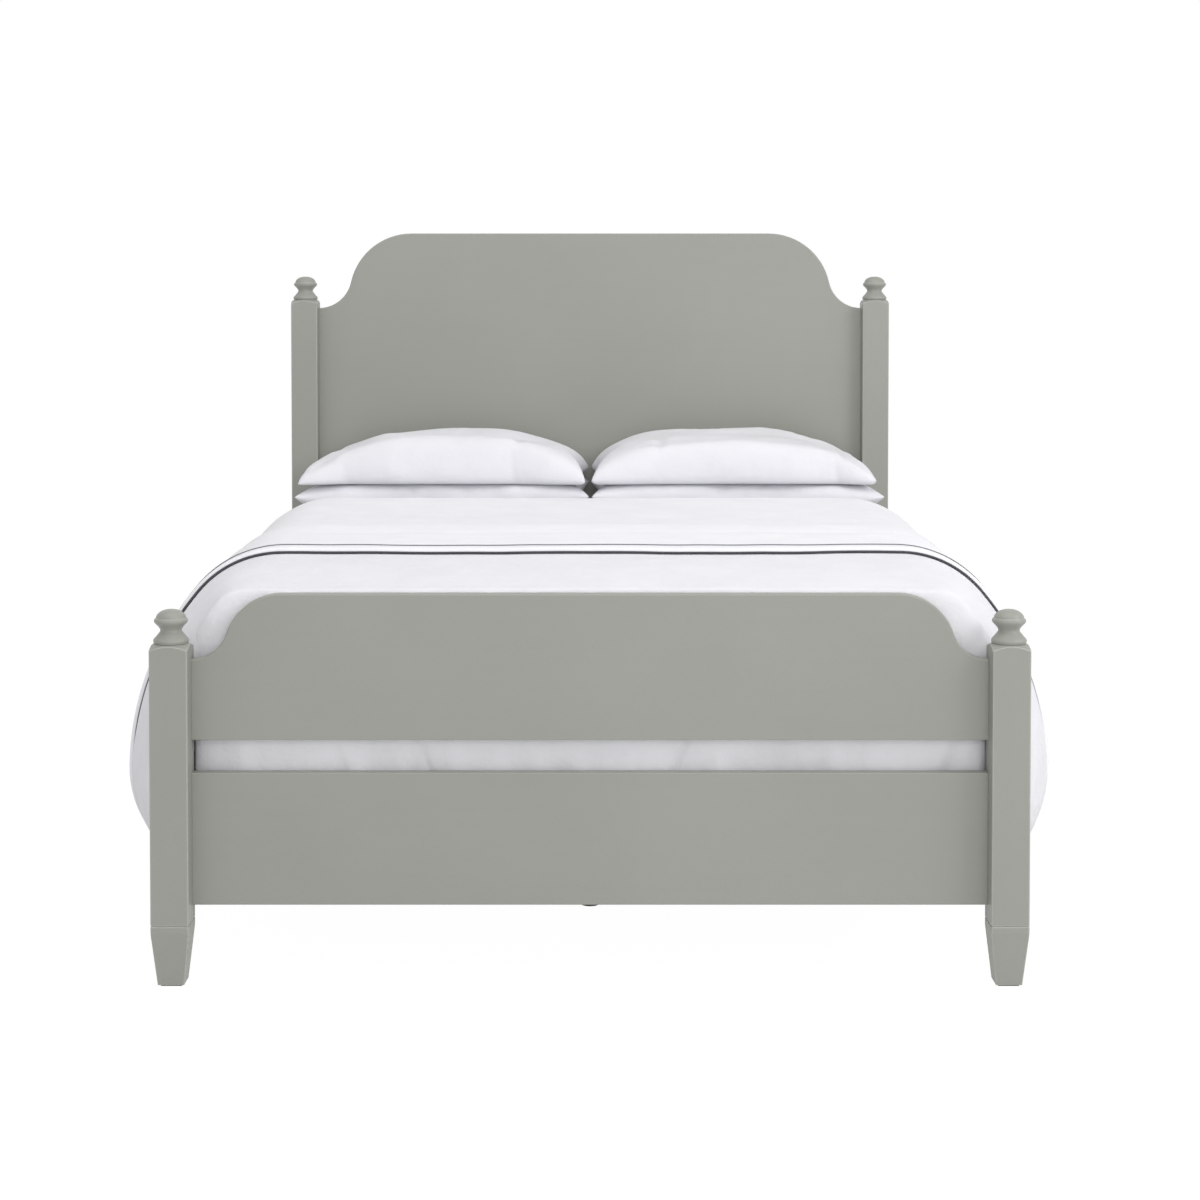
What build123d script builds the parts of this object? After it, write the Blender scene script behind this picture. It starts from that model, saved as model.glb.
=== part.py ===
from build123d import *
import math
import os

# A painted poster bed, dressed with mattress, duvet and pillows, in millimetres.
# X runs across the bed, Y from the footboard to the headboard, and Z up from the floor.
# The origin is on the floor, under the middle of the bed.

# The mattress, and the room that the frame leaves round it
mattress_width = 1524
mattress_length = 2032
mattress_height = 300
mattress_corner_radius = 75
mattress_edge_radius = 30
mattress_edge_steps = 2
mattress_side_gap = 3
mattress_head_gap = 8
mattress_foot_gap = 35

# The foundation under the mattress
foundation_side_gap = 5
foundation_end_gap = 3.5
foundation_height = 200
foundation_corner_radius = 55
foundation_edge_radius = 10
foundation_edge_steps = 1

# The square posts, with a turned shoulder at the top and a tapered foot
post_size = 73
post_edge_chamfer = 1.5
head_post_height = 1308
foot_post_height = 657.5
foot_tip_size = 50
taper_top_height = 106
score_line_height = 119
score_line_width = 2.5
score_line_depth = 1.5
shoulder_top_radius = 31
shoulder_corner_drop = 11.5

# The turned finials, as heights above the post's top and radii at those heights
finial_height = 64.5
finial_seat_radius = 30
finial_collar_radius = 34
finial_collar_height = 4.5
finial_collar_rim_radius = 32.5
finial_collar_rim_height = 8.5
finial_neck_radius = 20.5
finial_neck_height = 24.5
finial_bead_low_radius = 30.2
finial_bead_low_height = 38
finial_bead_radius = 32.3
finial_bead_height = 42.8
finial_dome_base_radius = 28.8
finial_dome_base_height = 47.5
finial_dome_steps = 2
finial_bolt_diameter = 8
finial_bolt_length = 70
finial_bolt_in_finial = 30
fastener_sides = 6

# The head and foot panels, with their curved shoulders
panel_thickness = 25
panel_setback = 42
panel_edge_chamfer = 2
headboard_top = 1494
headboard_shoulder_end = 1284
headboard_shoulder_radius = 175
headboard_cove_radius = 93
footboard_top = 750
footboard_shoulder_end = 624
footboard_shoulder_radius = 110
footboard_cove_radius = 71
panel_bottom = 469
tenon_length = 14
tenon_thickness = 12
tenon_shoulder = 15
tenon_clearance = 0.2

# The end rails below the panels and the side rails, which are the same board
rail_bottom = 150
rail_height = 255
rail_thickness = 25
rail_end_clearance = 0.3

# The steel fittings that hook each side rail to its posts
plate_width = 16
plate_height = 152
plate_thickness = 2.5
hook_thickness = 3.2
hook_pitch = 90
hook_neck_height = 16
hook_claw_depth = 4
hook_claw_drop = 10
hook_clearance = 0.3
slot_clearance = 0.2
slot_lift_room = 2
hook_pocket_room = 1.5
plate_screw_pitch = 136
plate_screw_length = 20
plate_screw_diameter = 4
plate_screw_head_diameter = 8
plate_screw_head_height = 1.3

# The slats, the ledgers that carry their ends and the beam under their middles
ledger_thickness = 25
ledger_height = 30
ledger_lift = 20
ledger_end_gap = 20
slat_count = 11
slat_width = 70
slat_thickness = 19
slat_end_gap = 3
slat_edge_chamfer = 3
first_slat_inset = 60
beam_width = 45
beam_height = 45
beam_end_gap = 3
bracket_thickness = 2
bracket_depth = 32
bracket_wall_height = 36
bracket_flange_width = 18
bracket_clearance = 0.3

# The three middle legs and their screwed feet
leg_count = 3
leg_size = 45
leg_edge_chamfer = 2
leg_pitch = 480
leg_bolt_length = 56
leg_bolt_diameter = 8
insert_diameter = 14
insert_length = 16
stem_diameter = 10
stem_length = 46
stem_clearance = 0.05
stem_bore_room = 1.5
foot_pad_diameter = 38
foot_pad_height = 8
foot_nut_width = 17
foot_nut_height = 6
foot_stop_gap = 0.3

# The square glides under the four posts
glide_size = 40
glide_height = 3

# The fitted sheet over the mattress
fitted_sheet_thickness = 1.5
fabric_gap = 0.3

# The duvet: its thickness, where it ends and how it swells out of the bed's sides
duvet_foot_start = 6
duvet_pillow_gap = 22
duvet_foot_loft = 36.2
duvet_loft = 69.2
duvet_foot_flat_inset = 97
duvet_flat_inset = 142
duvet_foot_overhang = 103
duvet_overhang = 202
duvet_foot_bulge_height = 400
duvet_bulge_height = 335
duvet_foot_hem_height = 262
duvet_hem_height = 222
duvet_hem_tuck = 34
duvet_side_thickness = 56
duvet_foot_thickness = 30
duvet_fold_depth = 5
duvet_fold_length = 520
duvet_swell_length = 380
duvet_shoulder_turn = 63
duvet_shoulder_share = 0.8
duvet_foot_stations = 6
duvet_foot_crowding = 1.5
duvet_drop_bottom = 335
duvet_drop_gap = 1
duvet_drop_fold_radius = 12
drape_shoulder_steps = 6
drape_side_steps = 5

# The duvet's lining: how it rounds the mattress's top edge and falls clear of the side rail
lining_edge_inset = 22
lining_edge_room = 18
lining_edge_drop = 16
lining_side_drop = 105
lining_rail_gap = 12
lining_hem_share = 0.6
lining_corner_share = 0.4

# The turned-down sheet over the duvet
turned_sheet_thickness = 4
turned_sheet_start = 350
turned_sheet_stations = 6

# The pillows, two on each side, one on the other
pillow_width = 760
pillow_depth = 500
pillow_lower_height = 104
pillow_upper_height = 128
pillow_seam_share = 0.4
pillow_resting_share = 0.72
pillow_crown_share = 0.15
pillow_edge_power = 4
pillow_crown_power = 0.4
pillow_waist = 14
pillow_corner = 22
pillow_headboard_gap = 8
pillow_middle_gap = 3
pillow_long_steps = 6
pillow_short_steps = 4
pillow_height_steps = 4
pillow_height_crowding = 2.2

# Places that follow from those sizes
post_x = mattress_width / 2 + mattress_side_gap + post_size / 2
inner_face_x = post_x - post_size / 2
post_pitch = mattress_length + mattress_head_gap + mattress_foot_gap + panel_thickness
foot_post_y = -post_pitch / 2
head_post_y = post_pitch / 2
panel_offset = panel_setback + panel_thickness / 2 - post_size / 2
foot_panel_y = foot_post_y + panel_offset
head_panel_y = head_post_y + panel_offset
room_foot_y = foot_panel_y + panel_thickness / 2
room_head_y = head_panel_y - panel_thickness / 2
rail_x = post_x + post_size / 2 - panel_setback - rail_thickness / 2
rail_inner_x = rail_x - rail_thickness / 2
rail_outer_x = rail_x + rail_thickness / 2
rail_foot_y = foot_post_y + post_size / 2 + rail_end_clearance
rail_head_y = head_post_y - post_size / 2 - rail_end_clearance
rail_top = rail_bottom + rail_height
rail_middle_z = rail_bottom + rail_height / 2
slat_bed_z = rail_bottom + ledger_lift + ledger_height
slat_top_z = slat_bed_z + slat_thickness
mattress_bottom = slat_top_z + foundation_height
mattress_top = mattress_bottom + mattress_height
mattress_head_y = room_head_y - mattress_head_gap
mattress_foot_y = mattress_head_y - mattress_length
mattress_y = (mattress_head_y + mattress_foot_y) / 2
cover_top = mattress_top + fabric_gap + fitted_sheet_thickness


def blend(low, high, share):
    """A value that share of the way from low to high."""
    return low + (high - low) * share


def spaced(first, last, count, crowding):
    """Values from first to last, closer together near the first where crowding is over 1."""
    return [blend(first, last, (index / (count - 1)) ** crowding) for index in range(count)]


def block(x_range, y_range, z_range):
    """A box between two limits along each axis."""
    size = [high - low for low, high in (x_range, y_range, z_range)]
    middle = [(high + low) / 2 for low, high in (x_range, y_range, z_range)]
    return Pos(*middle) * Box(*size)


def square_bar(size, edge, low, high):
    """A square bar with chamfered edges, standing between two heights."""
    half = size / 2
    bar = block((-half, half), (-half, half), (low, high))
    return chamfer(bar.edges().filter_by(Axis.Z), edge)


def other_side(shape):
    """The same piece for the bed's left side."""
    return mirror(shape, Plane.YZ)


# Fasteners
def screw(length):
    """A flat-headed screw along -Z, with its head's flat face at the origin."""
    head = prism(plate_screw_head_diameter, -plate_screw_head_height, 0)
    return head + prism(plate_screw_diameter, -length, -plate_screw_head_height)


def prism(diameter, low, high):
    """An upright many-sided rod between two heights, for fasteners and their holes."""
    return Pos(0, 0, low) * extrude(RegularPolygon(diameter / 2, fastener_sides), high - low)


def rod(diameter, low, high):
    """An upright round rod between two heights."""
    return Pos(0, 0, (low + high) / 2) * Cylinder(diameter / 2, high - low)


# Hook fittings: the side rail's plate carries two claws, and the post's plate has their slots
claw_reach = plate_thickness + hook_clearance + hook_claw_depth + rail_end_clearance
claw_height = hook_neck_height + hook_claw_drop
hook_levels = (-hook_pitch / 2, hook_pitch / 2)
screw_levels = (-plate_screw_pitch / 2, plate_screw_pitch / 2)


def hook_plate():
    """The rail's plate, with +Y pointing into the post and the rail's end at Y = 0."""
    plate = block((-plate_width / 2, plate_width / 2), (-plate_thickness, 0),
                  (-plate_height / 2, plate_height / 2))
    x_range = (-hook_thickness / 2, hook_thickness / 2)
    neck_end = claw_reach - hook_claw_depth
    for level in hook_levels:
        low, high = level - hook_neck_height / 2, level + hook_neck_height / 2
        plate += block(x_range, (-plate_thickness / 2, neck_end), (low, high))
        plate += block(x_range, (neck_end, claw_reach), (low - hook_claw_drop, high))
    return plate


def slot_plate():
    """The post's plate, flush with the post's face at Y = 0, with its slots open along Y."""
    plate = block((-plate_width / 2, plate_width / 2), (0, plate_thickness),
                  (-plate_height / 2, plate_height / 2))
    for level in hook_levels:
        plate -= slot_space(level, (-1, plate_thickness + 1), slot_clearance)
    return plate


def slot_space(level, y_range, room):
    """The way that a claw needs to drop in and seat, with some room on every side."""
    half = hook_thickness / 2 + hook_clearance + room
    low = level - hook_neck_height / 2 - slot_clearance
    high = level - hook_neck_height / 2 + claw_height + slot_lift_room
    return block((-half, half), y_range, (low, high))


def claw_pocket(level):
    """The pocket in the post behind one slot, deeper and lower than the seated claw."""
    half = hook_thickness / 2 + hook_clearance + hook_pocket_room
    low = level - hook_neck_height / 2 - hook_claw_drop - hook_pocket_room
    high = level - hook_neck_height / 2 + claw_height + slot_lift_room
    return block((-half, half), (0, claw_reach + hook_pocket_room), (low, high))


def plate_bed():
    """The shallow bed that a plate is let into, from Y = 0 inwards along +Y."""
    return block((-plate_width / 2, plate_width / 2), (0, plate_thickness),
                 (-plate_height / 2, plate_height / 2))


def plate_screws():
    """The screws of one plate, heads flush at Y = 0 and shanks along +Y."""
    return [Pos(0, 0, level) * Rot(90, 0, 0) * screw(plate_screw_length) for level in screw_levels]


# Posts
def post(height, y, rail_side, shoulder_end):
    """A right-hand post at its place; rail_side is +1 where the side rail runs towards the head."""
    body = square_bar(post_size, post_edge_chamfer, glide_height, height)
    for turn in range(4):
        body -= Rot(0, 0, 90 * turn) * taper_waste()
    body &= shoulder_turning(height)
    body -= score_line()
    body -= prism(finial_bolt_diameter, height - finial_bolt_length + finial_bolt_in_finial,
                  height + 1)
    # Mortises for the panel and the end rail, in the face towards the bed's middle
    for low, high in ((panel_bottom, shoulder_end), (rail_bottom, rail_top)):
        body -= tenon(low, high, -post_size / 2, tenon_clearance)
    # The bed and the pockets of the slotted plate, in the face that the side rail meets
    fitting = plate_bed()
    for level in hook_levels:
        fitting += claw_pocket(level)
    for piece in plate_screws():
        fitting += piece
    body -= place_on_post(fitting, rail_side)
    return Pos(post_x, y, 0) * body


def place_on_post(shape, rail_side):
    """Turns a fitting whose +Y runs into the post, and sets it on the face that the rail meets."""
    turned = shape if rail_side < 0 else Rot(0, 0, 180) * shape
    return Pos(rail_x - post_x, rail_side * post_size / 2, rail_middle_z) * turned


def tenon(low, high, face_x, room):
    """The tongue of a panel or end rail, or its mortise where room is more than nothing."""
    half = tenon_thickness / 2 + room
    return block((face_x, face_x + tenon_length + room),
                 (panel_offset - half, panel_offset + half),
                 (low + tenon_shoulder - room, high - tenon_shoulder + room))


def taper_waste():
    """What the saw takes off one face of the post to taper its foot."""
    outside = post_size / 2 + 1
    slope = (post_size - foot_tip_size) / 2 / (taper_top_height - glide_height)
    with BuildSketch(Plane.XZ) as profile:
        with BuildLine():
            Polyline((outside, 0), (foot_tip_size / 2 - slope * glide_height, 0),
                     (post_size / 2, taper_top_height), (outside, taper_top_height), close=True)
        make_face()
    return extrude(profile.sketch, post_size, both=True)


def shoulder_turning(height):
    """What the lathe leaves of the post: a coned shoulder that gives each face an arched top."""
    corner = post_size / 2 * math.sqrt(2)
    with BuildSketch(Plane.XZ) as profile:
        with BuildLine():
            Polyline((corner, height - shoulder_corner_drop), (corner, 0), (0, 0), (0, height),
                     (shoulder_top_radius, height), close=True)
        make_face()
    return revolve(profile.sketch, Axis.Z)


def score_line():
    """The shallow groove scored round the post above its tapered foot."""
    low, high = (score_line_height + side * score_line_width / 2 for side in (-1, 1))
    outer = square_bar(post_size + 2, 1, low, high)
    return outer - square_bar(post_size - 2 * score_line_depth, post_edge_chamfer, low - 1, high + 1)


def finial():
    """A turned finial standing on Z = 0: a collar, a neck, a bead and a dome, in short cones."""
    rise = finial_height - finial_dome_base_height
    radius = (finial_dome_base_radius ** 2 + rise ** 2) / (2 * rise)
    turn = math.asin(finial_dome_base_radius / radius)
    dome = [(radius * math.sin(turn * share), finial_height - radius * (1 - math.cos(turn * share)))
            for share in spaced(1, 0, finial_dome_steps + 1, 1)]
    with BuildSketch(Plane.XZ) as profile:
        with BuildLine():
            Polyline((0, 0), (finial_seat_radius, 0), (finial_collar_radius, finial_collar_height),
                     (finial_collar_rim_radius, finial_collar_rim_height),
                     (finial_neck_radius, finial_neck_height),
                     (finial_bead_low_radius, finial_bead_low_height),
                     (finial_bead_radius, finial_bead_height), *dome, close=True)
        make_face()
    return revolve(profile.sketch, Axis.Z) - prism(finial_bolt_diameter, -1, finial_bolt_in_finial)


# Panels and rails
def shouldered_panel(top, shoulder_end, shoulder_radius, cove_radius, y):
    """A panel whose top drops to the posts in two S-curves, each a round shoulder and a cove."""
    cove_z = shoulder_end + cove_radius
    round_z = top - shoulder_radius
    run = math.sqrt((shoulder_radius + cove_radius) ** 2 - (cove_z - round_z) ** 2)
    round_x = inner_face_x - run
    share = shoulder_radius / (shoulder_radius + cove_radius)
    meet = (round_x + run * share, round_z + (cove_z - round_z) * share)
    lean = math.atan2(cove_z - round_z, run)
    half_way = (math.pi / 2 + lean) / 2
    round_middle = (round_x + shoulder_radius * math.cos(half_way),
                    round_z + shoulder_radius * math.sin(half_way))
    cove_middle = (inner_face_x - cove_radius * math.cos(half_way),
                   cove_z - cove_radius * math.sin(half_way))
    with BuildSketch(Plane.XZ) as profile:
        with BuildLine() as edge:
            Line((0, top), (round_x, top))
            ThreePointArc((round_x, top), round_middle, meet)
            ThreePointArc(meet, cove_middle, (inner_face_x, shoulder_end))
            Line((inner_face_x, shoulder_end), (inner_face_x, panel_bottom))
            Line((inner_face_x, panel_bottom), (0, panel_bottom))
            mirror(edge.line, Plane.YZ)
        make_face()
    board = Pos(0, y, 0) * extrude(profile.sketch, panel_thickness / 2, both=True)
    rim = board.edges().filter_by(lambda edge: on_rim(edge, shoulder_end))
    board = chamfer(rim, panel_edge_chamfer)
    tongue = Pos(0, y - panel_offset, 0) * tenon(panel_bottom, shoulder_end, inner_face_x, 0)
    return board + tongue + other_side(tongue)


def on_rim(edge, shoulder_end):
    """Whether an edge runs along a panel's curved top, not through its thickness."""
    middle = edge @ 0.5
    inside = middle.Z > shoulder_end + 1e-3 and abs(middle.X) < inner_face_x - 1e-3
    return inside and abs(edge.tangent_at(0.5).Y) < 0.5


def end_rail(y):
    """The board below a panel, tenoned into both posts."""
    half = rail_thickness / 2
    board = block((-inner_face_x, inner_face_x), (y - half, y + half), (rail_bottom, rail_top))
    tongue = Pos(0, y - panel_offset, 0) * tenon(rail_bottom, rail_top, inner_face_x, 0)
    return board + tongue + other_side(tongue)


def side_rail():
    """The right side rail, with a bed at each end for its hook plate and its screws."""
    half = rail_thickness / 2
    board = block((rail_x - half, rail_x + half), (rail_foot_y, rail_head_y),
                  (rail_bottom, rail_top))
    bed = plate_bed()
    for piece in plate_screws():
        bed += piece
    board -= Pos(rail_x, rail_foot_y, rail_middle_z) * bed
    return board - Pos(rail_x, rail_head_y, rail_middle_z) * Rot(0, 0, 180) * bed


# Slats and their supports
def ledger():
    """The strip along the right side rail's inner face, which carries the slats' ends."""
    low = rail_bottom + ledger_lift
    return block((rail_inner_x - ledger_thickness, rail_inner_x),
                 (rail_foot_y + ledger_end_gap, rail_head_y - ledger_end_gap),
                 (low, low + ledger_height))


def slat(y):
    """One slat across the bed, resting on both ledgers and on the beam."""
    half = rail_inner_x - slat_end_gap
    board = block((-half, half), (y - slat_width / 2, y + slat_width / 2), (slat_bed_z, slat_top_z))
    upper = board.edges().filter_by(Axis.X).group_by(Axis.Z)[-1]
    return chamfer(upper, slat_edge_chamfer)


beam_top = slat_bed_z
beam_bottom = beam_top - beam_height


def beam():
    """The lengthwise beam under the middles of the slats."""
    return block((-beam_width / 2, beam_width / 2),
                 (room_foot_y + beam_end_gap, room_head_y - beam_end_gap),
                 (beam_bottom, beam_top))


def beam_bracket(y, inwards):
    """A folded steel seat for one end of the beam, on the inner face of an end rail."""
    inner = beam_width / 2 + bracket_clearance
    outer = inner + bracket_thickness
    low = beam_bottom - bracket_thickness
    high = low + bracket_wall_height
    seat = block((-outer, outer), (0, bracket_depth), (low, high))
    seat -= block((-inner, inner), (-1, bracket_depth + 1), (beam_bottom, high + 1))
    for side in (-1, 1):
        near, far = side * inner, side * (outer + bracket_flange_width)
        seat += block((min(near, far), max(near, far)), (0, bracket_thickness), (low, high))
    seat = seat if inwards > 0 else Rot(0, 0, 180) * seat
    return Pos(0, y, 0) * seat


leg_bottom = foot_pad_height + foot_nut_height + foot_stop_gap
leg_places = [(index - (leg_count - 1) / 2) * leg_pitch for index in range(leg_count)]


def middle_leg(y):
    """A leg under the beam, bored for its bolt, its insert and the foot's screwed stem."""
    leg = square_bar(leg_size, leg_edge_chamfer, leg_bottom, beam_bottom)
    leg -= prism(leg_bolt_diameter, beam_bottom - leg_bolt_length / 2, beam_bottom + 1)
    leg -= prism(insert_diameter, leg_bottom - 1, leg_bottom + insert_length)
    stem_end = foot_pad_height + stem_length + stem_bore_room
    leg -= rod(stem_diameter + 2 * stem_bore_room, leg_bottom, stem_end)
    return Pos(0, y, 0) * leg


def leg_insert(y):
    """The steel insert in a leg, whose bore the stem screws through."""
    shell = prism(insert_diameter, leg_bottom, leg_bottom + insert_length)
    shell -= rod(stem_diameter + 2 * stem_clearance, leg_bottom - 1, leg_bottom + insert_length + 1)
    return Pos(0, y, 0) * shell


def levelling_foot(y):
    """A screwed foot: a round pad with a nut on it and the stem that runs up into the leg."""
    foot = rod(foot_pad_diameter, 0, foot_pad_height)
    foot += extrude(Pos(0, 0, foot_pad_height) * RegularPolygon(foot_nut_width / 2, 6, False),
                    foot_nut_height)
    foot += rod(stem_diameter, foot_pad_height, foot_pad_height + stem_length)
    return Pos(0, y, 0) * foot


# Soft pieces
def upholstered_block(width, length, corner, edge, steps, low, high):
    """A mattress or a foundation: a block with rounded corners, whose edges turn in steps."""
    angles = spaced(0, math.pi / 2, steps + 1, 1)
    turns = [(edge * (1 - math.sin(angle)), edge * (1 - math.cos(angle))) for angle in angles]
    levels = [(inset, low + rise) for inset, rise in turns]
    levels += [(inset, high - rise) for inset, rise in reversed(turns)]
    return loft([Pos(0, mattress_y, z) * RectangleRounded(width - 2 * inset, length - 2 * inset,
                                                          corner - inset)
                 for inset, z in levels], ruled=True)


def fitted_sheet():
    """The sheet drawn over the mattress: a thin shell over its top and down its sides."""
    grow = 2 * (fabric_gap + fitted_sheet_thickness)
    outer = upholstered_block(mattress_width + grow, mattress_length + grow,
                              mattress_corner_radius + grow / 2, mattress_edge_radius + grow / 2,
                              mattress_edge_steps, mattress_bottom - grow, cover_top)
    gap = 2 * fabric_gap
    inner = upholstered_block(mattress_width + gap, mattress_length + gap,
                              mattress_corner_radius + gap / 2, mattress_edge_radius + gap / 2,
                              mattress_edge_steps, mattress_bottom - 2 * grow,
                              mattress_top + fabric_gap)
    reach = mattress_width
    below = block((-reach, reach), (-2 * reach, 2 * reach), (0, mattress_bottom + fabric_gap))
    return outer - inner - below


duvet_foot_y = foot_post_y + post_size / 2 + duvet_foot_start
pillow_back_y = mattress_head_y - pillow_headboard_gap
pillow_front_y = pillow_back_y - pillow_depth
duvet_head_y = pillow_front_y - duvet_pillow_gap


def duvet_swell(y):
    """How far the duvet has swelled out, from nothing at the foot posts to all of it."""
    share = min(1, (y - duvet_foot_y) / duvet_swell_length)
    return 1 - (1 - share) ** 2


def drape_profile(y, lift):
    """The right half of a covering's outline at one place along the bed, lift above the duvet's."""
    swell = duvet_swell(y)
    fold = duvet_fold_depth * swell * math.sin(math.tau * (y - duvet_foot_y) / duvet_fold_length)
    top = cover_top + blend(duvet_foot_loft, duvet_loft, swell)
    flat = mattress_width / 2 - blend(duvet_foot_flat_inset, duvet_flat_inset, swell)
    bulge = mattress_width / 2 + blend(duvet_foot_overhang, duvet_overhang, swell) + fold
    bulge_z = blend(duvet_foot_bulge_height, duvet_bulge_height, swell)
    hem_z = blend(duvet_foot_hem_height, duvet_hem_height, swell)
    # The shoulder is a round that leaves the top level; the side is a flatter round below it
    turn = math.radians(duvet_shoulder_turn)
    radius = (bulge - flat) * duvet_shoulder_share / math.sin(turn)

    def on_shoulder(angle):
        return flat + radius * math.sin(angle), top - radius * (1 - math.cos(angle))

    # Each point lies with the angle by which the surface there has turned from level
    points = {
        "flat": ((flat, top), 0),
        "shoulder": (on_shoulder(turn / 2), turn / 2),
        "side": (on_shoulder(turn), turn),
        "bulge": ((bulge, bulge_z), math.pi / 2),
        "hem": ((bulge - duvet_hem_tuck, hem_z), math.pi / 2),
    }
    return {name: (x + lift * math.sin(angle), z + lift * math.cos(angle))
            for name, ((x, z), angle) in points.items()}


def arc_points(start, middle, end, steps):
    """Points in even steps along the round that runs from start through middle to end."""
    arc = ThreePointArc(start, middle, end)
    return [((arc @ share).X, (arc @ share).Y) for share in spaced(0, 1, steps + 1, 1)]


def drape_line(points):
    """The right half of an outline from the flat top to the hem, stepped along its two rounds."""
    shoulder = arc_points(points["flat"], points["shoulder"], points["side"], drape_shoulder_steps)
    side = arc_points(points["side"], points["bulge"], points["hem"], drape_side_steps)
    return shoulder + side[1:]


def drape_section(y, lift, inner):
    """A closed section of a covering at one place along the bed, from its outline to its lining."""
    outer_line = drape_line(drape_profile(y, lift))
    inner_line = drape_line(inner(y))
    right = outer_line + inner_line[::-1]
    left = [(-x, z) for x, z in reversed(right)]
    with BuildSketch(Plane.XZ.offset(-y)) as section:
        with BuildLine():
            Polyline(*right, *left, close=True)
        make_face()
    return section.sketch


def duvet_lining(y):
    """The duvet's inner face: over the sheeted mattress, then a duvet's thickness inside its side."""
    out = drape_profile(y, 0)
    low = cover_top + fabric_gap
    # At the foot the mattress is narrower by its rounded corners
    into_corner = mattress_corner_radius - (y - mattress_foot_y)
    into_corner = min(max(into_corner, 0), mattress_corner_radius * lining_corner_share)
    corner_x = (mattress_width / 2 - mattress_corner_radius
                + math.sqrt(mattress_corner_radius ** 2 - into_corner ** 2))
    thickness = blend(duvet_foot_thickness, duvet_side_thickness, duvet_swell(y))
    side_x = max(out["side"][0] - thickness, rail_outer_x + lining_rail_gap)
    return {
        "flat": (corner_x - lining_edge_inset, low),
        "shoulder": (corner_x + lining_edge_room, low - lining_edge_drop),
        "side": (side_x, min(out["side"][1], low - lining_side_drop)),
        "bulge": (out["bulge"][0] - thickness, out["bulge"][1]),
        "hem": (out["hem"][0] - thickness * lining_hem_share, out["hem"][1]),
    }


sheet_places = spaced(duvet_foot_y + turned_sheet_start, duvet_head_y, turned_sheet_stations, 1)
foot_places = spaced(duvet_foot_y, sheet_places[0], duvet_foot_stations, duvet_foot_crowding)


def duvet():
    """The duvet over the mattress, hanging at both sides, with its end tucked down at the foot."""
    places = foot_places[:-1] + sheet_places
    body = loft([drape_section(y, 0, duvet_lining) for y in places], ruled=True)
    # The end drops between the mattress and the footboard
    low_y = room_foot_y + duvet_drop_gap
    high_y = mattress_foot_y - fabric_gap - fitted_sheet_thickness - duvet_drop_gap
    half = inner_face_x - mattress_side_gap
    drop_top = cover_top + duvet_foot_loft - duvet_drop_fold_radius
    drop = block((-half, half), (low_y, high_y), (duvet_drop_bottom, drop_top))
    top_edge = drop.edges().filter_by(Axis.X).group_by(Axis.Z)[-1].sort_by(Axis.Y)[0]
    return body + fillet(top_edge, duvet_drop_fold_radius)


def turned_sheet():
    """The sheet turned down over the duvet's upper part, hanging over both sides."""
    lift = fabric_gap + turned_sheet_thickness
    sections = [drape_section(y, lift, lambda place: drape_profile(place, fabric_gap))
                for y in sheet_places]
    return loft(sections, ruled=True)


def pillow_outline():
    """The points of a pillow's outline at its seam, about its middle, drawn in between corners."""
    half_width = pillow_width / 2
    half_depth = pillow_depth / 2
    back = arc_points((half_width - pillow_corner, half_depth), (0, half_depth - pillow_waist),
                      (pillow_corner - half_width, half_depth), pillow_long_steps)
    side = arc_points((-half_width, half_depth - pillow_corner), (pillow_waist - half_width, 0),
                      (-half_width, pillow_corner - half_depth), pillow_short_steps)
    return back + side + [(-x, -y) for x, y in back + side]


def pillow_fullness(scale):
    """How far a pillow has risen from its seam, where its outline has shrunk to that scale."""
    return (1 - scale ** pillow_edge_power) ** pillow_crown_power


def pillow_levels(seam_z, end_z, end_scale):
    """Scales and heights of the outlines from the seam up or down to a flat end."""
    full = pillow_fullness(end_scale)
    scales = spaced(1, end_scale, pillow_height_steps + 1, pillow_height_crowding)
    return [(scale, blend(seam_z, end_z, pillow_fullness(scale) / full)) for scale in scales]


def pillow(low, high, top_scale):
    """A right-hand pillow, flat where it rests and crowned, or pressed flat, at its top."""
    seam_z = blend(low, high, pillow_seam_share)
    levels = pillow_levels(seam_z, low, pillow_resting_share)[:0:-1]
    levels += pillow_levels(seam_z, high, top_scale)
    middle_x = (pillow_middle_gap + pillow_width) / 2
    middle_y = pillow_back_y - pillow_depth / 2
    outline = pillow_outline()
    return flat_sided([[(middle_x + x * scale, middle_y + y * scale, z) for x, y in outline]
                       for scale, z in levels])


def flat_sided(outlines):
    """A solid through a stack of like outlines, with a flat face between each pair of edges."""
    loops = [outlines[0], outlines[-1]]
    for lower, upper in zip(outlines, outlines[1:]):
        for index in range(len(lower)):
            loops.append((lower[index - 1], lower[index], upper[index], upper[index - 1]))
    return Solid(Shell([Face(Wire.make_polygon(loop, close=True)) for loop in loops]))


# All the pieces, by name
pieces = {}

bolt_low = finial_bolt_in_finial - finial_bolt_length
finial_bolts = []
glides = []
for end, y, height, rail_side, shoulder_end in (
        ("head", head_post_y, head_post_height, -1, headboard_shoulder_end),
        ("foot", foot_post_y, foot_post_height, 1, footboard_shoulder_end)):
    body = post(height, y, rail_side, shoulder_end)
    pieces[f"{end}_post_right"] = body
    pieces[f"{end}_post_left"] = other_side(body)
    top = Pos(post_x, y, height)
    cap = top * finial()
    pieces[f"{end}_finials"] = Compound(children=[cap, other_side(cap)])
    bolt = top * prism(finial_bolt_diameter, bolt_low, finial_bolt_in_finial)
    glide = Pos(post_x, y, glide_height / 2) * Box(glide_size, glide_size, glide_height)
    finial_bolts += [bolt, other_side(bolt)]
    glides += [glide, other_side(glide)]
pieces["finial_bolts"] = Compound(children=finial_bolts)
pieces["post_glides"] = Compound(children=glides)

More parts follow.
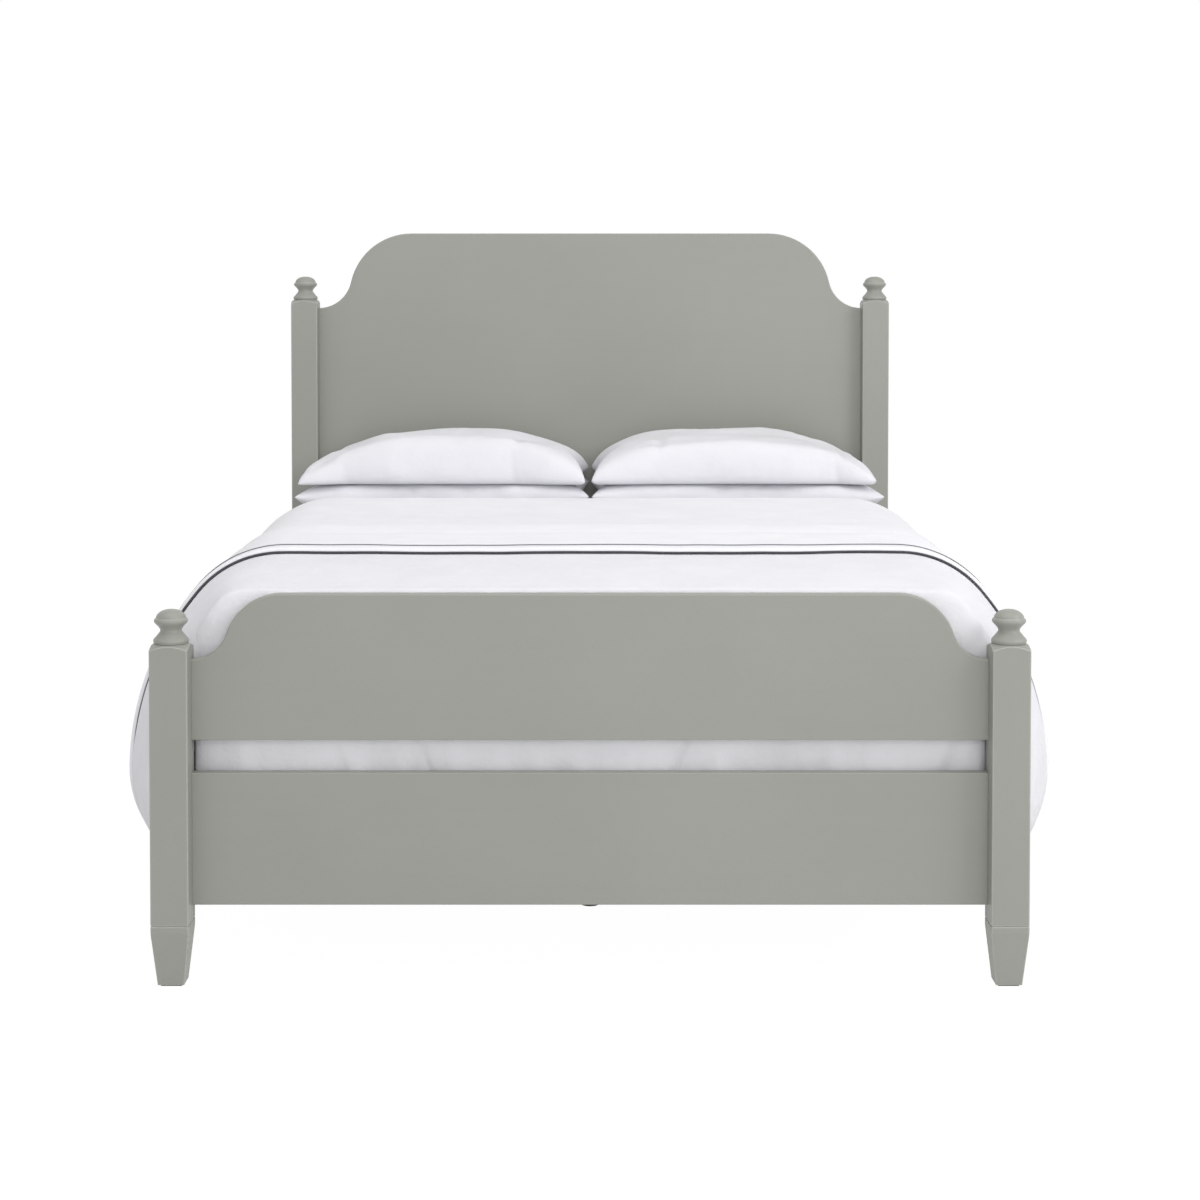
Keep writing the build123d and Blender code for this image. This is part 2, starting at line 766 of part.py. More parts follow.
pieces["headboard_panel"] = shouldered_panel(
    headboard_top, headboard_shoulder_end, headboard_shoulder_radius, headboard_cove_radius,
    head_panel_y)
pieces["footboard_panel"] = shouldered_panel(
    footboard_top, footboard_shoulder_end, footboard_shoulder_radius, footboard_cove_radius,
    foot_panel_y)
pieces["headboard_rail"] = end_rail(head_panel_y)
pieces["footboard_rail"] = end_rail(foot_panel_y)

right_rail = side_rail()
pieces["side_rail_right"] = right_rail
pieces["side_rail_left"] = other_side(right_rail)

screws = []
for end, post_y, rail_y, rail_side in (("head", head_post_y, rail_head_y, -1),
                                       ("foot", foot_post_y, rail_foot_y, 1)):
    on_post = Pos(post_x, post_y, 0)
    hooks_turn = Rot(0, 0, 180) if rail_side > 0 else Rot(0, 0, 0)
    hooks = Pos(rail_x, rail_y, rail_middle_z) * hooks_turn * hook_plate()
    holes = Pos(rail_x, rail_y, rail_middle_z) * Rot(0, 0, 180) * hooks_turn
    slots = on_post * place_on_post(slot_plate(), rail_side)
    rail_screws = [holes * piece for piece in plate_screws()]
    post_screws = [on_post * place_on_post(piece, rail_side) for piece in plate_screws()]
    for piece in rail_screws:
        hooks -= piece
    for piece in post_screws:
        slots -= piece
    pieces[f"{end}_hook_plate_right"] = hooks
    pieces[f"{end}_hook_plate_left"] = other_side(hooks)
    pieces[f"{end}_slot_plate_right"] = slots
    pieces[f"{end}_slot_plate_left"] = other_side(slots)
    for piece in rail_screws + post_screws:
        screws += [piece, other_side(piece)]
pieces["plate_screws"] = Compound(children=screws)

right_ledger = ledger()
pieces["slat_ledger_right"] = right_ledger
pieces["slat_ledger_left"] = other_side(right_ledger)
slat_span = rail_head_y - rail_foot_y - 2 * first_slat_inset
for index in range(slat_count):
    place = rail_foot_y + first_slat_inset + slat_span * index / (slat_count - 1)
    pieces[f"slat_{index + 1:02d}"] = slat(place)

beam_drills = [Pos(0, y, 0) * prism(leg_bolt_diameter, beam_bottom - leg_bolt_length / 2,
                                    beam_bottom + leg_bolt_length / 2) for y in leg_places]
centre_beam = beam()
for drill in beam_drills:
    centre_beam -= drill
pieces["centre_beam"] = centre_beam
pieces["leg_bolts"] = Compound(children=beam_drills)
pieces["beam_bracket_foot"] = beam_bracket(room_foot_y, 1)
pieces["beam_bracket_head"] = beam_bracket(room_head_y, -1)
pieces["leg_inserts"] = Compound(children=[leg_insert(y) for y in leg_places])
for number, y in enumerate(leg_places, start=1):
    pieces[f"middle_leg_{number}"] = middle_leg(y)
    pieces[f"levelling_foot_{number}"] = levelling_foot(y)

foundation_width = 2 * inner_face_x - 2 * foundation_side_gap
foundation_length = mattress_length - 2 * foundation_end_gap
pieces["foundation"] = upholstered_block(
    foundation_width, foundation_length, foundation_corner_radius, foundation_edge_radius,
    foundation_edge_steps, slat_top_z, mattress_bottom)
pieces["mattress"] = upholstered_block(
    mattress_width, mattress_length, mattress_corner_radius, mattress_edge_radius,
    mattress_edge_steps, mattress_bottom, mattress_top)
pieces["fitted_sheet"] = fitted_sheet()
pieces["duvet"] = duvet()
pieces["turned_sheet"] = turned_sheet()

lower_pillow_bottom = cover_top + fabric_gap
lower_pillow_top = lower_pillow_bottom + pillow_lower_height
upper_pillow_bottom = lower_pillow_top + fabric_gap
for name, low, high, top_scale in (
        ("lower", lower_pillow_bottom, lower_pillow_top, pillow_resting_share),
        ("upper", upper_pillow_bottom, upper_pillow_bottom + pillow_upper_height,
         pillow_crown_share)):
    right_pillow = pillow(low, high, top_scale)
    pieces[f"{name}_pillow_right"] = right_pillow
    pieces[f"{name}_pillow_left"] = other_side(right_pillow)

os.makedirs("parts", exist_ok=True)
for name, shape in pieces.items():
    export_step(shape, f"parts/{name}.step")
print(len(pieces), "pieces written")
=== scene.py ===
# %% [markdown]
# # A painted poster bed, dressed
# The bed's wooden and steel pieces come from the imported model, which is the fixed frame of this
# scene. The lesson gives them their finishes, turns smooth finials, and makes the soft pieces that
# the frame only holds as plain solids: mattress, sheets, duvet and pillows.
# All lengths are metres. X runs across the bed, Y from the footboard to the headboard, Z is up.

# %% Load the frame
import math

import bmesh
import bpy
import numpy as np
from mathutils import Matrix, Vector, noise


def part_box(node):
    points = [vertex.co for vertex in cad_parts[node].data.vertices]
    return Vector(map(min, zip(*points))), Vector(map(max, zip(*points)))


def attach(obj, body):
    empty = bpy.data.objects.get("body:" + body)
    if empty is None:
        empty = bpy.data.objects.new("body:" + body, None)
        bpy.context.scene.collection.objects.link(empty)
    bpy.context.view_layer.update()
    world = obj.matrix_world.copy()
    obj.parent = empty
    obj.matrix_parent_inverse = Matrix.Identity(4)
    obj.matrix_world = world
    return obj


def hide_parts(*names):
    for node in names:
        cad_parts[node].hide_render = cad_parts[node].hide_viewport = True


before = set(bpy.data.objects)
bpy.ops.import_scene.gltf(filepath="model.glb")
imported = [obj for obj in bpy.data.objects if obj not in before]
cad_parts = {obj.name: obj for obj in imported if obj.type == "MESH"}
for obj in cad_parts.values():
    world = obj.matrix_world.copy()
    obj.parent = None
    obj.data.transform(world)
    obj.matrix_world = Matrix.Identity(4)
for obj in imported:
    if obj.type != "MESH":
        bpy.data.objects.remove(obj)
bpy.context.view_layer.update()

BED = "bed"

# %% [markdown]
# ## Small tools for shader and geometry trees
# A finish is a tree of nodes. Writing each node, its settings and its inputs on one call keeps the
# recipe readable: an input gets either a plain value or the output of another node.


# %% Node helper
def add(tree, kind, values=None, **settings):
    """Adds a node, sets its settings, and sets or links its inputs by name or number."""
    made = tree.nodes.new(kind)
    for key, value in settings.items():
        setattr(made, key, value)
    for key, value in (values or {}).items():
        if isinstance(value, bpy.types.NodeSocket):
            tree.links.new(value, made.inputs[key])
        else:
            made.inputs[key].default_value = value
    return made


def new_finish(name, values):
    """A material with its shader's plain values set, returned with its tree and shader."""
    material = bpy.data.materials.new(name)
    material.use_nodes = True
    shader = material.node_tree.nodes["Principled BSDF"]
    for key, value in values.items():
        shader.inputs[key].default_value = value
    return material, material.node_tree, shader


def texture(tree, scale, stretch=(1, 1, 1), detail=3, roughness=0.5):
    """Noise on the object's own coordinates, stretched along the axes with small numbers."""
    place = add(tree, "ShaderNodeTexCoord").outputs["Object"]
    mapped = add(tree, "ShaderNodeMapping", {"Vector": place, "Scale": stretch})
    return add(tree, "ShaderNodeTexNoise", {
        "Vector": mapped.outputs["Vector"], "Scale": scale, "Detail": detail,
        "Roughness": roughness}).outputs["Fac"]


def shades(tree, factor, dark, light, low=0.3, high=0.7):
    """A colour that runs from dark to light as the factor goes from low to high."""
    spread = add(tree, "ShaderNodeMapRange", {"Value": factor, "From Min": low, "From Max": high})
    mix = add(tree, "ShaderNodeMix", {"Factor": spread.outputs["Result"], "A": (*dark, 1),
                                      "B": (*light, 1)}, data_type="RGBA")
    return mix.outputs[2]


def bump(tree, height, distance, under=None, strength=1.0):
    """A bump of that height in metres, over another bump where one is given."""
    values = {"Height": height, "Distance": distance, "Strength": strength}
    if under is not None:
        values["Normal"] = under
    return add(tree, "ShaderNodeBump", values).outputs["Normal"]


# %% [markdown]
# ## Painted wood
# The posts, panels, rails and finials are sprayed with a warm grey satin paint.
# Up close there is a faint brush grain along each board, a cloudy change of tone, and a fine
# orange-peel skin. Along the arrises the paint is rounded by a bevelled normal, and a paler colour
# there is a painted highlight, which draws the fine bright line down each post. One recipe makes
# three finishes that differ in the direction of the grain and in the strength of that highlight.


# %% Painted finishes
PAINT_DARK = (0.298, 0.303, 0.271)
PAINT_LIGHT = (0.318, 0.323, 0.291)
PAINT_EDGE_HIGHLIGHT = (0.60, 0.605, 0.565)
ARRIS = 0.003


def painted_wood(name, stretch, edge_highlight):
    """Satin paint, brush grain along the board, and a painted highlight on the arrises."""
    material, tree, shader = new_finish(name, {"Specular IOR Level": 0.45})
    grain = texture(tree, 60, stretch, detail=4)
    cloud = texture(tree, 2.6, detail=2)
    both = add(tree, "ShaderNodeMix", {"Factor": 0.15, "A": cloud, "B": grain}).outputs[0]
    rounded = add(tree, "ShaderNodeBevel", {"Radius": ARRIS}, samples=6).outputs["Normal"]
    flat = add(tree, "ShaderNodeNewGeometry").outputs["Normal"]
    turned = add(tree, "ShaderNodeVectorMath", {0: rounded, 1: flat}, operation="DOT_PRODUCT")
    # Near the arrises the colour turns paler: a painted highlight along the rounded edges.
    edge = add(tree, "ShaderNodeMapRange", {"Value": turned.outputs["Value"], "From Min": 0.995,
                                            "From Max": 0.90, "To Max": edge_highlight})
    highlighted = add(tree, "ShaderNodeMix", {
        "Factor": edge.outputs["Result"], "A": shades(tree, both, PAINT_DARK, PAINT_LIGHT),
        "B": (*PAINT_EDGE_HIGHLIGHT, 1)}, data_type="RGBA")
    tree.links.new(highlighted.outputs[2], shader.inputs["Base Color"])
    satin = add(tree, "ShaderNodeMapRange", {"Value": both, "To Min": 0.36, "To Max": 0.52})
    tree.links.new(satin.outputs["Result"], shader.inputs["Roughness"])
    peel = bump(tree, texture(tree, 420, detail=1), 0.0002, rounded)
    tree.links.new(bump(tree, grain, 0.00015, peel), shader.inputs["Normal"])
    return material


paint_across = painted_wood("paint_across", (0.05, 1, 1), 0.25)
paint_along = painted_wood("paint_along", (1, 0.05, 1), 0.4)
paint_upright = painted_wood("paint_upright", (1, 1, 0.05), 0.9)
print("painted finishes:", paint_across.name, paint_along.name, paint_upright.name)

# %% [markdown]
# ## Bare pine, zinc-plated steel and nylon
# Nobody sees these in the bedroom, but they show when the bed is looked at from below or behind.
# Pine has long dark lines of late wood, which a wave texture bent by noise draws well. Plated
# steel is bright with a little blotchy roughness. The nylon feet are plain with a moulded skin.


# %% Hidden finishes
def bare_pine(name, axis, stretch):
    """Planed pine whose grain runs along one axis."""
    material, tree, shader = new_finish(name, {"Specular IOR Level": 0.3})
    place = add(tree, "ShaderNodeTexCoord").outputs["Object"]
    mapped = add(tree, "ShaderNodeMapping", {"Vector": place, "Scale": stretch})
    rings = add(tree, "ShaderNodeTexWave", {
        "Vector": mapped.outputs["Vector"], "Scale": 9, "Distortion": 5, "Detail": 3,
        "Detail Scale": 1.2}, bands_direction=axis).outputs["Fac"]
    fibre = texture(tree, 90, stretch, detail=4)
    both = add(tree, "ShaderNodeMix", {"Factor": 0.3, "A": rings, "B": fibre}).outputs[0]
    tree.links.new(shades(tree, both, (0.52, 0.33, 0.17), (0.70, 0.50, 0.29), 0.1, 0.8),
                   shader.inputs["Base Color"])
    rough = add(tree, "ShaderNodeMapRange", {"Value": both, "To Min": 0.72, "To Max": 0.58})
    tree.links.new(rough.outputs["Result"], shader.inputs["Roughness"])
    tree.links.new(bump(tree, fibre, 0.0005), shader.inputs["Normal"])
    return material


def plated_steel():
    """Zinc plating: bright, with blotches of roughness."""
    material, tree, shader = new_finish("zinc_plating", {"Metallic": 1.0})
    blotch = texture(tree, 110, detail=3)
    tree.links.new(shades(tree, blotch, (0.50, 0.50, 0.48), (0.66, 0.66, 0.64)),
                   shader.inputs["Base Color"])
    rough = add(tree, "ShaderNodeMapRange", {"Value": blotch, "To Min": 0.28, "To Max": 0.48})
    tree.links.new(rough.outputs["Result"], shader.inputs["Roughness"])
    return material


def moulded_nylon():
    """Grey nylon with the fine skin of a moulding."""
    material, tree, shader = new_finish("grey_moulding", {"Roughness": 0.55})
    skin = texture(tree, 700, detail=2)
    tree.links.new(shades(tree, skin, (0.055, 0.056, 0.058), (0.075, 0.076, 0.078)),
                   shader.inputs["Base Color"])
    tree.links.new(bump(tree, skin, 0.0003), shader.inputs["Normal"])
    return material


pine_across = bare_pine("pine_across", "Y", (0.06, 1, 1))
pine_along = bare_pine("pine_along", "X", (1, 0.06, 1))
pine_upright = bare_pine("pine_upright", "X", (1, 1, 0.06))
zinc = plated_steel()
nylon = moulded_nylon()
print("hidden finishes made")

# %% [markdown]
# ## Dress the frame's own nodes
# A node keeps its mesh. Only the material in its slot changes, chosen by the way its grain runs.

# %% Give each node its finish
finishes = {
    paint_across: ["headboard_panel", "footboard_panel", "headboard_rail", "footboard_rail"],
    paint_along: ["side_rail_left", "side_rail_right"],
    paint_upright: ["head_post_left", "head_post_right", "foot_post_left", "foot_post_right"],
    pine_along: ["slat_ledger_left", "slat_ledger_right", "centre_beam"],
    pine_across: [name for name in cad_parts
                  if name.startswith("slat_") and name[-1].isdigit()],
    pine_upright: ["middle_leg_1", "middle_leg_2", "middle_leg_3"],
    nylon: ["post_glides", "levelling_foot_1", "levelling_foot_2", "levelling_foot_3"],
    zinc: [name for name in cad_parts
           if any(word in name for word in ("plate", "bracket", "bolts", "inserts"))],
}
for finish, names in finishes.items():
    for name in names:
        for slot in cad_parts[name].material_slots:
            slot.material = finish
print({finish.name: len(names) for finish, names in finishes.items()})

# %% [markdown]
# ## Piece helpers
# Every piece that the scene adds is a mesh at the origin, with smooth shading, one finish and
# the body that it rides on.


# %% Piece helpers
def make_piece(name, mesh, material):
    """Links a mesh as a finished piece of the bed."""
    piece = bpy.data.objects.new(name, mesh)
    bpy.context.scene.collection.objects.link(piece)
    mesh.materials.clear()
    mesh.materials.append(material)
    mesh.polygons.foreach_set("use_smooth", [True] * len(mesh.polygons))
    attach(piece, BED)
    print(name, len(mesh.polygons), "faces")
    return piece


def grid_mesh(name, grids, merge=1e-5):
    """One mesh through several grids of points, with coincident rims merged and faces outwards."""
    mesh = bpy.data.meshes.new(name)
    points, faces = [], []
    for grid in grids:
        rows, columns, _ = grid.shape
        start = len(points)
        points.extend(map(tuple, grid.reshape(-1, 3)))
        for row in range(rows - 1):
            first = start + row * columns
            faces.extend((first + k, first + k + 1, first + columns + k + 1, first + columns + k)
                         for k in range(columns - 1))
    mesh.from_pydata(points, [], faces)
    shape = bmesh.new()
    shape.from_mesh(mesh)
    bmesh.ops.remove_doubles(shape, verts=shape.verts, dist=merge)
    bmesh.ops.recalc_face_normals(shape, faces=shape.faces)
    shape.to_mesh(mesh)
    shape.free()
    return mesh


def round_lip(outer, inner, steps):
    """Adds rows to two grids that bring them together in a half round past their last row."""
    middle = (outer[-1] + inner[-1]) / 2
    before = (outer[-2] + inner[-2]) / 2
    away = middle - before
    away /= np.maximum(np.linalg.norm(away, axis=-1, keepdims=True), 1e-9)
    reach = outer[-1] - middle
    radius = np.linalg.norm(reach, axis=-1, keepdims=True)
    angles = np.linspace(0, math.pi / 2, steps + 1)[1:]
    more_outer = [middle + reach * math.cos(a) + away * radius * math.sin(a) for a in angles]
    more_inner = [middle - reach * math.cos(a) + away * radius * math.sin(a) for a in angles]
    more_inner[-1] = more_outer[-1]
    return np.concatenate([outer, more_outer]), np.concatenate([inner, more_inner])


def padded_mesh(name, outer, inner, steps=4):
    """A closed form between an outer and an inner skin, with a round lip on all four sides."""
    for _ in range(4):
        outer, inner = round_lip(outer, inner, steps)
        outer, inner = (np.rot90(grid, axes=(0, 1)) for grid in (outer, inner))
    return grid_mesh(name, [outer, inner])


# %% [markdown]
# ## Finials
# Each post carries a turned finial: a collar, a cove, a neck, a bead and a low dome. On the real
# bed they are cut on a lathe, so the mesh is made the same way, by spinning one profile. The four
# are alike, so a small Geometry Nodes tree sets one turning on the four post tops.

# %% The finial's profile, as radius and height above the post in millimetres
FINIAL_PROFILE = [
    (0.0, 0.0), (30.0, 0.0), (33.0, 1.4), (34.0, 4.6), (32.5, 8.5), (30.2, 10.6), (26.4, 15.2),
    (22.2, 20.3), (20.4, 23.6), (21.0, 27.0), (24.6, 32.2), (28.9, 36.6), (31.3, 39.4),
    (32.3, 42.8), (31.0, 46.2), (28.8, 47.5), (28.5, 49.0), (27.6, 52.0), (24.6, 56.2),
    (19.4, 60.2), (12.4, 63.1), (5.4, 64.3), (0.0, 64.5),
]
FINIAL_SIDES = 72
FINIAL_FINER = 3


def spline_through(points, finer):
    """Points of a smooth line through the given ones, that many for each stretch."""
    line = np.array(points, float)
    padded = np.concatenate([line[:1], line, line[-1:]])
    smooth = []
    for before, start, end, after in zip(padded, padded[1:], padded[2:], padded[3:]):
        for t in np.arange(finer) / finer:
            smooth.append(0.5 * (2 * start + (end - before) * t
                                 + (2 * before - 5 * start + 4 * end - after) * t ** 2
                                 + (3 * start - before - 3 * end + after) * t ** 3))
    return np.array(smooth + [line[-1]])


def turned_mesh(name, profile, sides):
    """A closed mesh from a profile of radius and height, turned round Z."""
    angles = np.linspace(0, math.tau, sides + 1)
    grid = np.array([[(r * math.cos(a), r * math.sin(a), z) for a in angles] for r, z in profile])
    return grid_mesh(name, [grid])


finial_line = spline_through(FINIAL_PROFILE, FINIAL_FINER) / 1000
finial_line[:, 0] = np.maximum(finial_line[:, 0], 0)
finial_mesh = turned_mesh("finial_turning", finial_line, FINIAL_SIDES)
print("finial turning:", len(finial_mesh.vertices), "points")


# %% Geometry Nodes helpers
def new_tree(name, sizes):
    """A geometry tree with a geometry input and one named input for each size."""
    tree = bpy.data.node_groups.new(name, "GeometryNodeTree")
    tree.interface.new_socket("Geometry", in_out="INPUT", socket_type="NodeSocketGeometry")
    for label, (kind, value) in sizes.items():
        socket = tree.interface.new_socket(label, in_out="INPUT", socket_type=kind)
        if value is not None:
            socket.default_value = value
    tree.interface.new_socket("Geometry", in_out="OUTPUT", socket_type="NodeSocketGeometry")
    return tree, add(tree, "NodeGroupInput").outputs


def end_tree(tree, geometry, material):
    """Ends a tree in realised instances and a material."""
    real = add(tree, "GeometryNodeRealizeInstances", {"Geometry": geometry})
    painted = add(tree, "GeometryNodeSetMaterial", {
        "Geometry": real.outputs["Geometry"], "Material": material})
    add(tree, "NodeGroupOutput", {"Geometry": painted.outputs["Geometry"]})


def run_tree(name, tree, holder_data, values, material):
    """Runs a tree on a throwaway object and keeps what it made as a plain piece."""
    holder = bpy.data.objects.new("holder", holder_data)
    bpy.context.scene.collection.objects.link(holder)
    modifier = holder.modifiers.new("tree", "NODES")
    modifier.node_group = tree
    for socket in tree.interface.items_tree:
        if socket.in_out == "INPUT" and socket.name in values:
            modifier[socket.identifier] = values[socket.name]
    evaluated = holder.evaluated_get(bpy.context.evaluated_depsgraph_get())
    mesh = bpy.data.meshes.new_from_object(evaluated)
    holder.modifiers.clear()
    bpy.data.objects.remove(holder)
    mesh.name = name
    return make_piece(name, mesh, material)


def point_cloud(places):
    """A mesh of loose points, for a tree to set things on."""
    mesh = bpy.data.meshes.new("places")
    mesh.from_pydata([tuple(place) for place in places], [], [])
    return mesh


def hidden_model(name, mesh):
    """An object that only lends its mesh to a tree."""
    model = bpy.data.objects.new(name, mesh)
    model.hide_render = True
    return model


# %% Set one finial on each post
def setting_tree(name, material):
    """Sets a copy of one object on every point, turned and scaled by the inputs."""
    tree, given = new_tree(name, {
        "Model": ("NodeSocketObject", None), "Turn": ("NodeSocketVector", (0, 0, 0)),
        "Size": ("NodeSocketFloat", 1.0)})
    model = add(tree, "GeometryNodeObjectInfo", {"Object": given["Model"]})
    turn = add(tree, "FunctionNodeEulerToRotation", {"Euler": given["Turn"]})
    scale = add(tree, "ShaderNodeCombineXYZ", {"X": given["Size"], "Y": given["Size"],
                                               "Z": given["Size"]})
    placed = add(tree, "GeometryNodeInstanceOnPoints", {
        "Points": given["Geometry"], "Instance": model.outputs["Geometry"],
        "Rotation": turn.outputs["Rotation"], "Scale": scale.outputs["Vector"]})
    end_tree(tree, placed.outputs["Instances"], material)
    return tree


finial_tree = setting_tree("set_finials", paint_upright)
finial_model = hidden_model("finial_model", finial_mesh)
for end in ("head", "foot"):
    tops = []
    for side in ("left", "right"):
        low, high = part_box(f"{end}_post_{side}")
        tops.append(((low.x + high.x) / 2, (low.y + high.y) / 2, high.z))
    turned = run_tree(f"{end}_finial_turnings", finial_tree, point_cloud(tops),
                      {"Model": finial_model, "Turn": (0.0, 0.0, 0.0), "Size": 1.0},
                      paint_upright)
    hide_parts(f"{end}_finials")

# %% Screws along the ledgers
screw_line = np.array([(0.0, 1.9), (1.6, 1.8), (3.2, 1.2), (4.2, 0.0), (0.0, 0.0)]) / 1000
screw_model = hidden_model("screw_model", turned_mesh("screw_head", screw_line, 20))
SCREWS_ON_LEDGER = 7
screw_tree = setting_tree("set_screws", zinc)
for side, word in ((-1, "left"), (1, "right")):
    low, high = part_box(f"slat_ledger_{word}")
    inner_x = low.x if side > 0 else high.x
    row = [(inner_x, y, (low.z + high.z) / 2)
           for y in np.linspace(low.y + 0.12, high.y - 0.12, SCREWS_ON_LEDGER)]
    run_tree(f"ledger_screws_{word}", screw_tree, point_cloud(row),
             {"Model": screw_model, "Turn": (0.0, -side * math.pi / 2, 0.0), "Size": 1.0},
             zinc)

# %% [markdown]
# ## Cloth finishes
# White cotton isn't one flat white. The percale of the sheets has a fine even weave, the duvet
# cover a slightly fuller one, and both show soft creases a few centimetres long that the folds of
# the mesh are too large to carry. The ticking of the mattress is a coarser weave of warm white.


# %% Cloth finishes
WAVE_SPACING = 0.32
SHEET_SHADES = (0.88, 0.88, 0.915), (0.92, 0.92, 0.95)
COVER_SHADES = (0.79, 0.79, 0.825), (0.83, 0.83, 0.865)
TICKING_SHADES = (0.80, 0.79, 0.76), (0.86, 0.85, 0.82)
BASE_SHADES = (0.78, 0.77, 0.75), (0.84, 0.83, 0.81)


def woven_cloth(name, dark, light, thread, crease, sheen):
    """Cotton with a weave of that thread spacing and creases of that height, both in metres."""
    material, tree, shader = new_finish(name, {
        "Roughness": 0.85, "Specular IOR Level": 0.25, "Sheen Weight": sheen,
        "Sheen Roughness": 0.5})
    place = add(tree, "ShaderNodeTexCoord").outputs["Object"]
    threads = []
    for axis in ("X", "Y", "Z"):
        wave = add(tree, "ShaderNodeTexWave", {
            "Vector": place, "Scale": WAVE_SPACING / thread, "Distortion": 0.6, "Detail": 1.0},
            bands_direction=axis)
        threads.append(wave.outputs["Fac"])
    weave = add(tree, "ShaderNodeMath", {0: threads[0], 1: threads[1]}, operation="ADD")
    weave = add(tree, "ShaderNodeMath", {0: weave.outputs[0], 1: threads[2]}, operation="ADD")
    soft = texture(tree, 9, detail=5, roughness=0.55)
    tree.links.new(shades(tree, soft, dark, light), shader.inputs["Base Color"])
    creased = bump(tree, soft, crease)
    tree.links.new(bump(tree, weave.outputs[0], thread * 0.15, creased, 0.5),
                   shader.inputs["Normal"])
    return material


sheet_cloth = woven_cloth("sheet_percale", *SHEET_SHADES, 0.0012, 0.006, 0.1)
duvet_cloth = woven_cloth("duvet_cover", *COVER_SHADES, 0.0014, 0.008, 0.15)
pillow_cloth = woven_cloth("pillow_case", *COVER_SHADES, 0.0012, 0.006, 0.1)
ticking_cloth = woven_cloth("mattress_tick", *TICKING_SHADES, 0.003, 0.003, 0.05)
base_cloth = woven_cloth("foundation_cover", *BASE_SHADES, 0.002, 0.002, 0.05)


def sewing_thread(name, dark, light):
    """Twisted thread, a little uneven in its dye."""
    material, tree, shader = new_finish(name, {"Roughness": 0.6, "Sheen Weight": 0.2})
    tree.links.new(shades(tree, texture(tree, 300), dark, light), shader.inputs["Base Color"])
    return material


# The dark thread is embroidery and, laid in the crease at the hem's foot, also painted shade of it.
thread_finish = sewing_thread("dark_thread", (0.040, 0.041, 0.050), (0.065, 0.066, 0.078))
grey_thread = sewing_thread("grey_thread", (0.13, 0.13, 0.145), (0.19, 0.19, 0.205))
print("cloth finishes made")

# %% [markdown]
# ## Mattress, foundation and fitted sheet
# These are upholstered blocks. A block is a stack of rounded rectangles, and its edge turns over
# in a quarter round. The same function with a little more size makes the fitted sheet as a skin
# over the mattress, open below, with the slack that gathers in its lower corners.


# %% Upholstered blocks
def rounded_outline(half_width, half_length, corner, per_corner, per_side):
    """Points round a rectangle with round corners, as X and Y, first point repeated at the end."""
    line = []
    for turn, (sx, sy) in enumerate(((1, 1), (-1, 1), (-1, -1), (1, -1))):
        centre = np.array([sx * (half_width - corner), sy * (half_length - corner)])
        for a in np.linspace(turn * math.pi / 2, (turn + 1) * math.pi / 2, per_corner):
            line.append(centre + corner * np.array([math.cos(a), math.sin(a)]))
        nxt = ((-1, 1), (-1, -1), (1, -1), (1, 1))[turn]
        other = np.array([nxt[0] * (half_width - corner), nxt[1] * (half_length - corner)])
        a = (turn + 1) * math.pi / 2
        start = line[-1]
        end = other + corner * np.array([math.cos(a), math.sin(a)])
        for t in np.linspace(0, 1, per_side + 2)[1:-1]:
            line.append(start + (end - start) * t)
    return np.array(line + [line[0]])


def block_rings(low, high, corner, edge, levels, top_only=False):
    """Rings of points that wrap a block between two corners of its box, from below to above."""
    centre = np.array([(low.x + high.x) / 2, (low.y + high.y) / 2])
    half = np.array([(high.x - low.x) / 2, (high.y - low.y) / 2])
    turns = np.linspace(0, math.pi / 2, 6)
    stack = [] if top_only else [(edge * (1 - math.sin(a)), low.z + edge * (1 - math.cos(a)))
                                 for a in turns]
    first = low.z if top_only else low.z + edge
    stack += [(0.0, z) for z in np.linspace(first, high.z - edge, levels)[(0 if top_only else 1):]]
    stack += [(edge * (1 - math.cos(a)), high.z - edge * (1 - math.sin(a))) for a in turns[1:]]
    rings = []
    for inset, z in stack:
        outline = rounded_outline(half[0] - inset, half[1] - inset,
                                  corner - min(inset, corner * 0.9), 10, 40)
        rings.append([(centre[0] + x, centre[1] + y, z) for x, y in outline])
    return np.array(rings)


def close_over(rings, steps, crown):
    """Adds rings that close a stack over its top, rising by crown at the middle."""
    last = rings[-1]
    middle = last[:-1].mean(axis=0)
    more = []
    for share in np.linspace(0, 1, steps + 1)[1:]:
        ring = middle + (last - middle) * (1 - share)
        ring[:, 2] = last[:, 2] + crown * (1 - (1 - share) ** 2)
        more.append(ring)
    return np.concatenate([rings, more])


def closed_block(name, low, high, corner, edge, crown=0.0):
    """A block's closed mesh, with its top crowned a little."""
    rings = block_rings(low, high - Vector((0, 0, crown)), corner, edge, 6)
    rings = close_over(rings, 14, crown)
    below = close_over(rings[::-1], 14, 0.0)[len(rings) - 1:]
    return grid_mesh(name, [rings, below])


mattress_low, mattress_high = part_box("mattress")
SLACK = Vector((0.002, 0.002, 0.0))
MATTRESS_CORNER = 0.075
BASE_CORNER = 0.055
PIPING_RADIUS = 0.0028
mattress = make_piece("mattress_body", closed_block(
    "mattress_body", mattress_low + SLACK, mattress_high - SLACK, MATTRESS_CORNER, 0.030, 0.004),
    ticking_cloth)
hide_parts("mattress")

base_low, base_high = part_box("foundation")
foundation = make_piece("foundation_body", closed_block(
    "foundation_body", base_low, base_high, BASE_CORNER, 0.010), base_cloth)
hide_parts("foundation")


